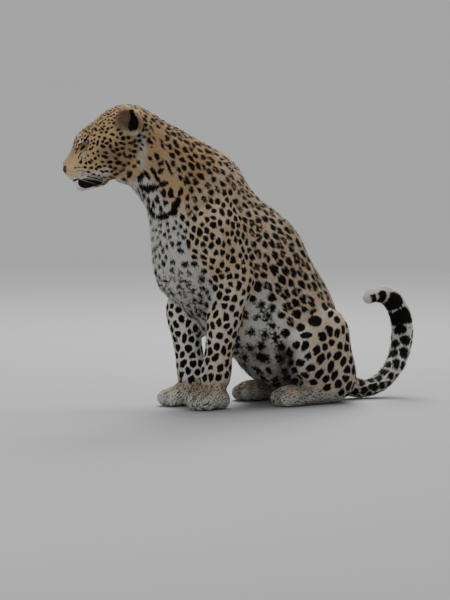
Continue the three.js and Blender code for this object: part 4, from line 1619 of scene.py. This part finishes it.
def add_studio():
    deselect()
    bpy.ops.mesh.primitive_plane_add(size=160)
    floor = bpy.context.object
    floor.name = "floor"
    floor.data.materials.append(floor_finish())
    world = bpy.data.worlds.new("studio")
    bpy.context.scene.world = world
    world.use_nodes = True
    sky = world.node_tree.nodes["Background"]
    sky.inputs[0].default_value = SKY
    sky.inputs[1].default_value = SKY_STRENGTH
    middle = on_body((0, 150, 350))
    above = Vector((0, 0, 1))
    add_sky_light("overhead", camera_back * -0.45 + camera_right * 0.1 + above, 55, 3.3)
    before = middle + camera_back * 3.0 + camera_right * -2.4 + above * 1.2
    add_light("front_fill", before, middle, 2.5, 34)
    behind = middle - camera_back * 2.4 + above * 2.2
    add_light("rim", behind, middle, 1.4, 80)


# The whole leopard


def draw_in(skin, web):
    """Smooths the skin and draws it in by the depth of the coat, less round the eyes and lips."""
    mesh = skin.data
    points = points_of(mesh)
    owner = nearest_flesh(points)
    smooth_shape(mesh, web, web.spread(by_kind(owner, "smooth"), NEAR_SPREAD))
    depth = web.spread(by_kind(owner, "depth"), COAT_SPREAD)
    head = head_coordinates(points)
    half_head = folded(head)
    slit, above = around_lids(half_head)
    depth *= step_up(slit, 1.3, 2.6) * step_up(distance_to_line(half_head, LIPS), 2, 8)
    depth[(owner == FLESH.index("head")) & (head[:, 1] < 12)] = 0
    lid_fold = step_up(np.abs(slit - 2.15), 0.5, 0.1) * step_up(above, 4, 8)
    depth += LID_FOLD_DEPTH * lid_fold * (head[:, 1] < 120)
    depth += furrow_depth(points, owner)
    shrink = (depth + CLOSING / MM) * MM
    move_points(mesh, points_of(mesh) - unit(web.spread(normals_of(mesh), 2)) * shrink[:, None])
    lay_lids(mesh)


def unwrap(skin):
    """Lays the skin out flat as the map that skin and tufts share."""
    mesh = skin.data
    while mesh.uv_layers:
        mesh.uv_layers.remove(mesh.uv_layers[0])
    mesh.uv_layers.new(name="OFBake")
    make_active(skin)
    bpy.ops.object.mode_set(mode="EDIT")
    bpy.ops.mesh.select_all(action="SELECT")
    bpy.ops.uv.smart_project(angle_limit=math.radians(70), island_margin=0.003)
    bpy.ops.object.mode_set(mode="OBJECT")


def make_leopard():
    skin = make_skin()
    refine_feet(skin)
    mesh = skin.data
    half_head = folded(head_coordinates(points_of(mesh)))
    split_faces(mesh, past_lids(half_head)[0] < LIDS_REFINED, 2)
    web = Web(mesh)
    draw_in(skin, web)
    mesh.shade_smooth()
    unwrap(skin)
    values, marks = paint_skin(skin, web)
    colours = coat_colour_group()
    mesh.materials.append(coat_finish("coat_skin", colours, tufts=False))
    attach(skin, "root")
    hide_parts(*FLESH)
    roots = sow(skin, values, web, marks)
    grow_coat(roots, coat_finish("coat_tufts", colours, tufts=True))
    finish = eye_finish()
    make_eye(1, finish)
    make_eye(-1, finish)
    make_nose(nose_finish())
    make_whiskers(values["points"], whisker_finish())


add_camera()
make_leopard()
add_studio()
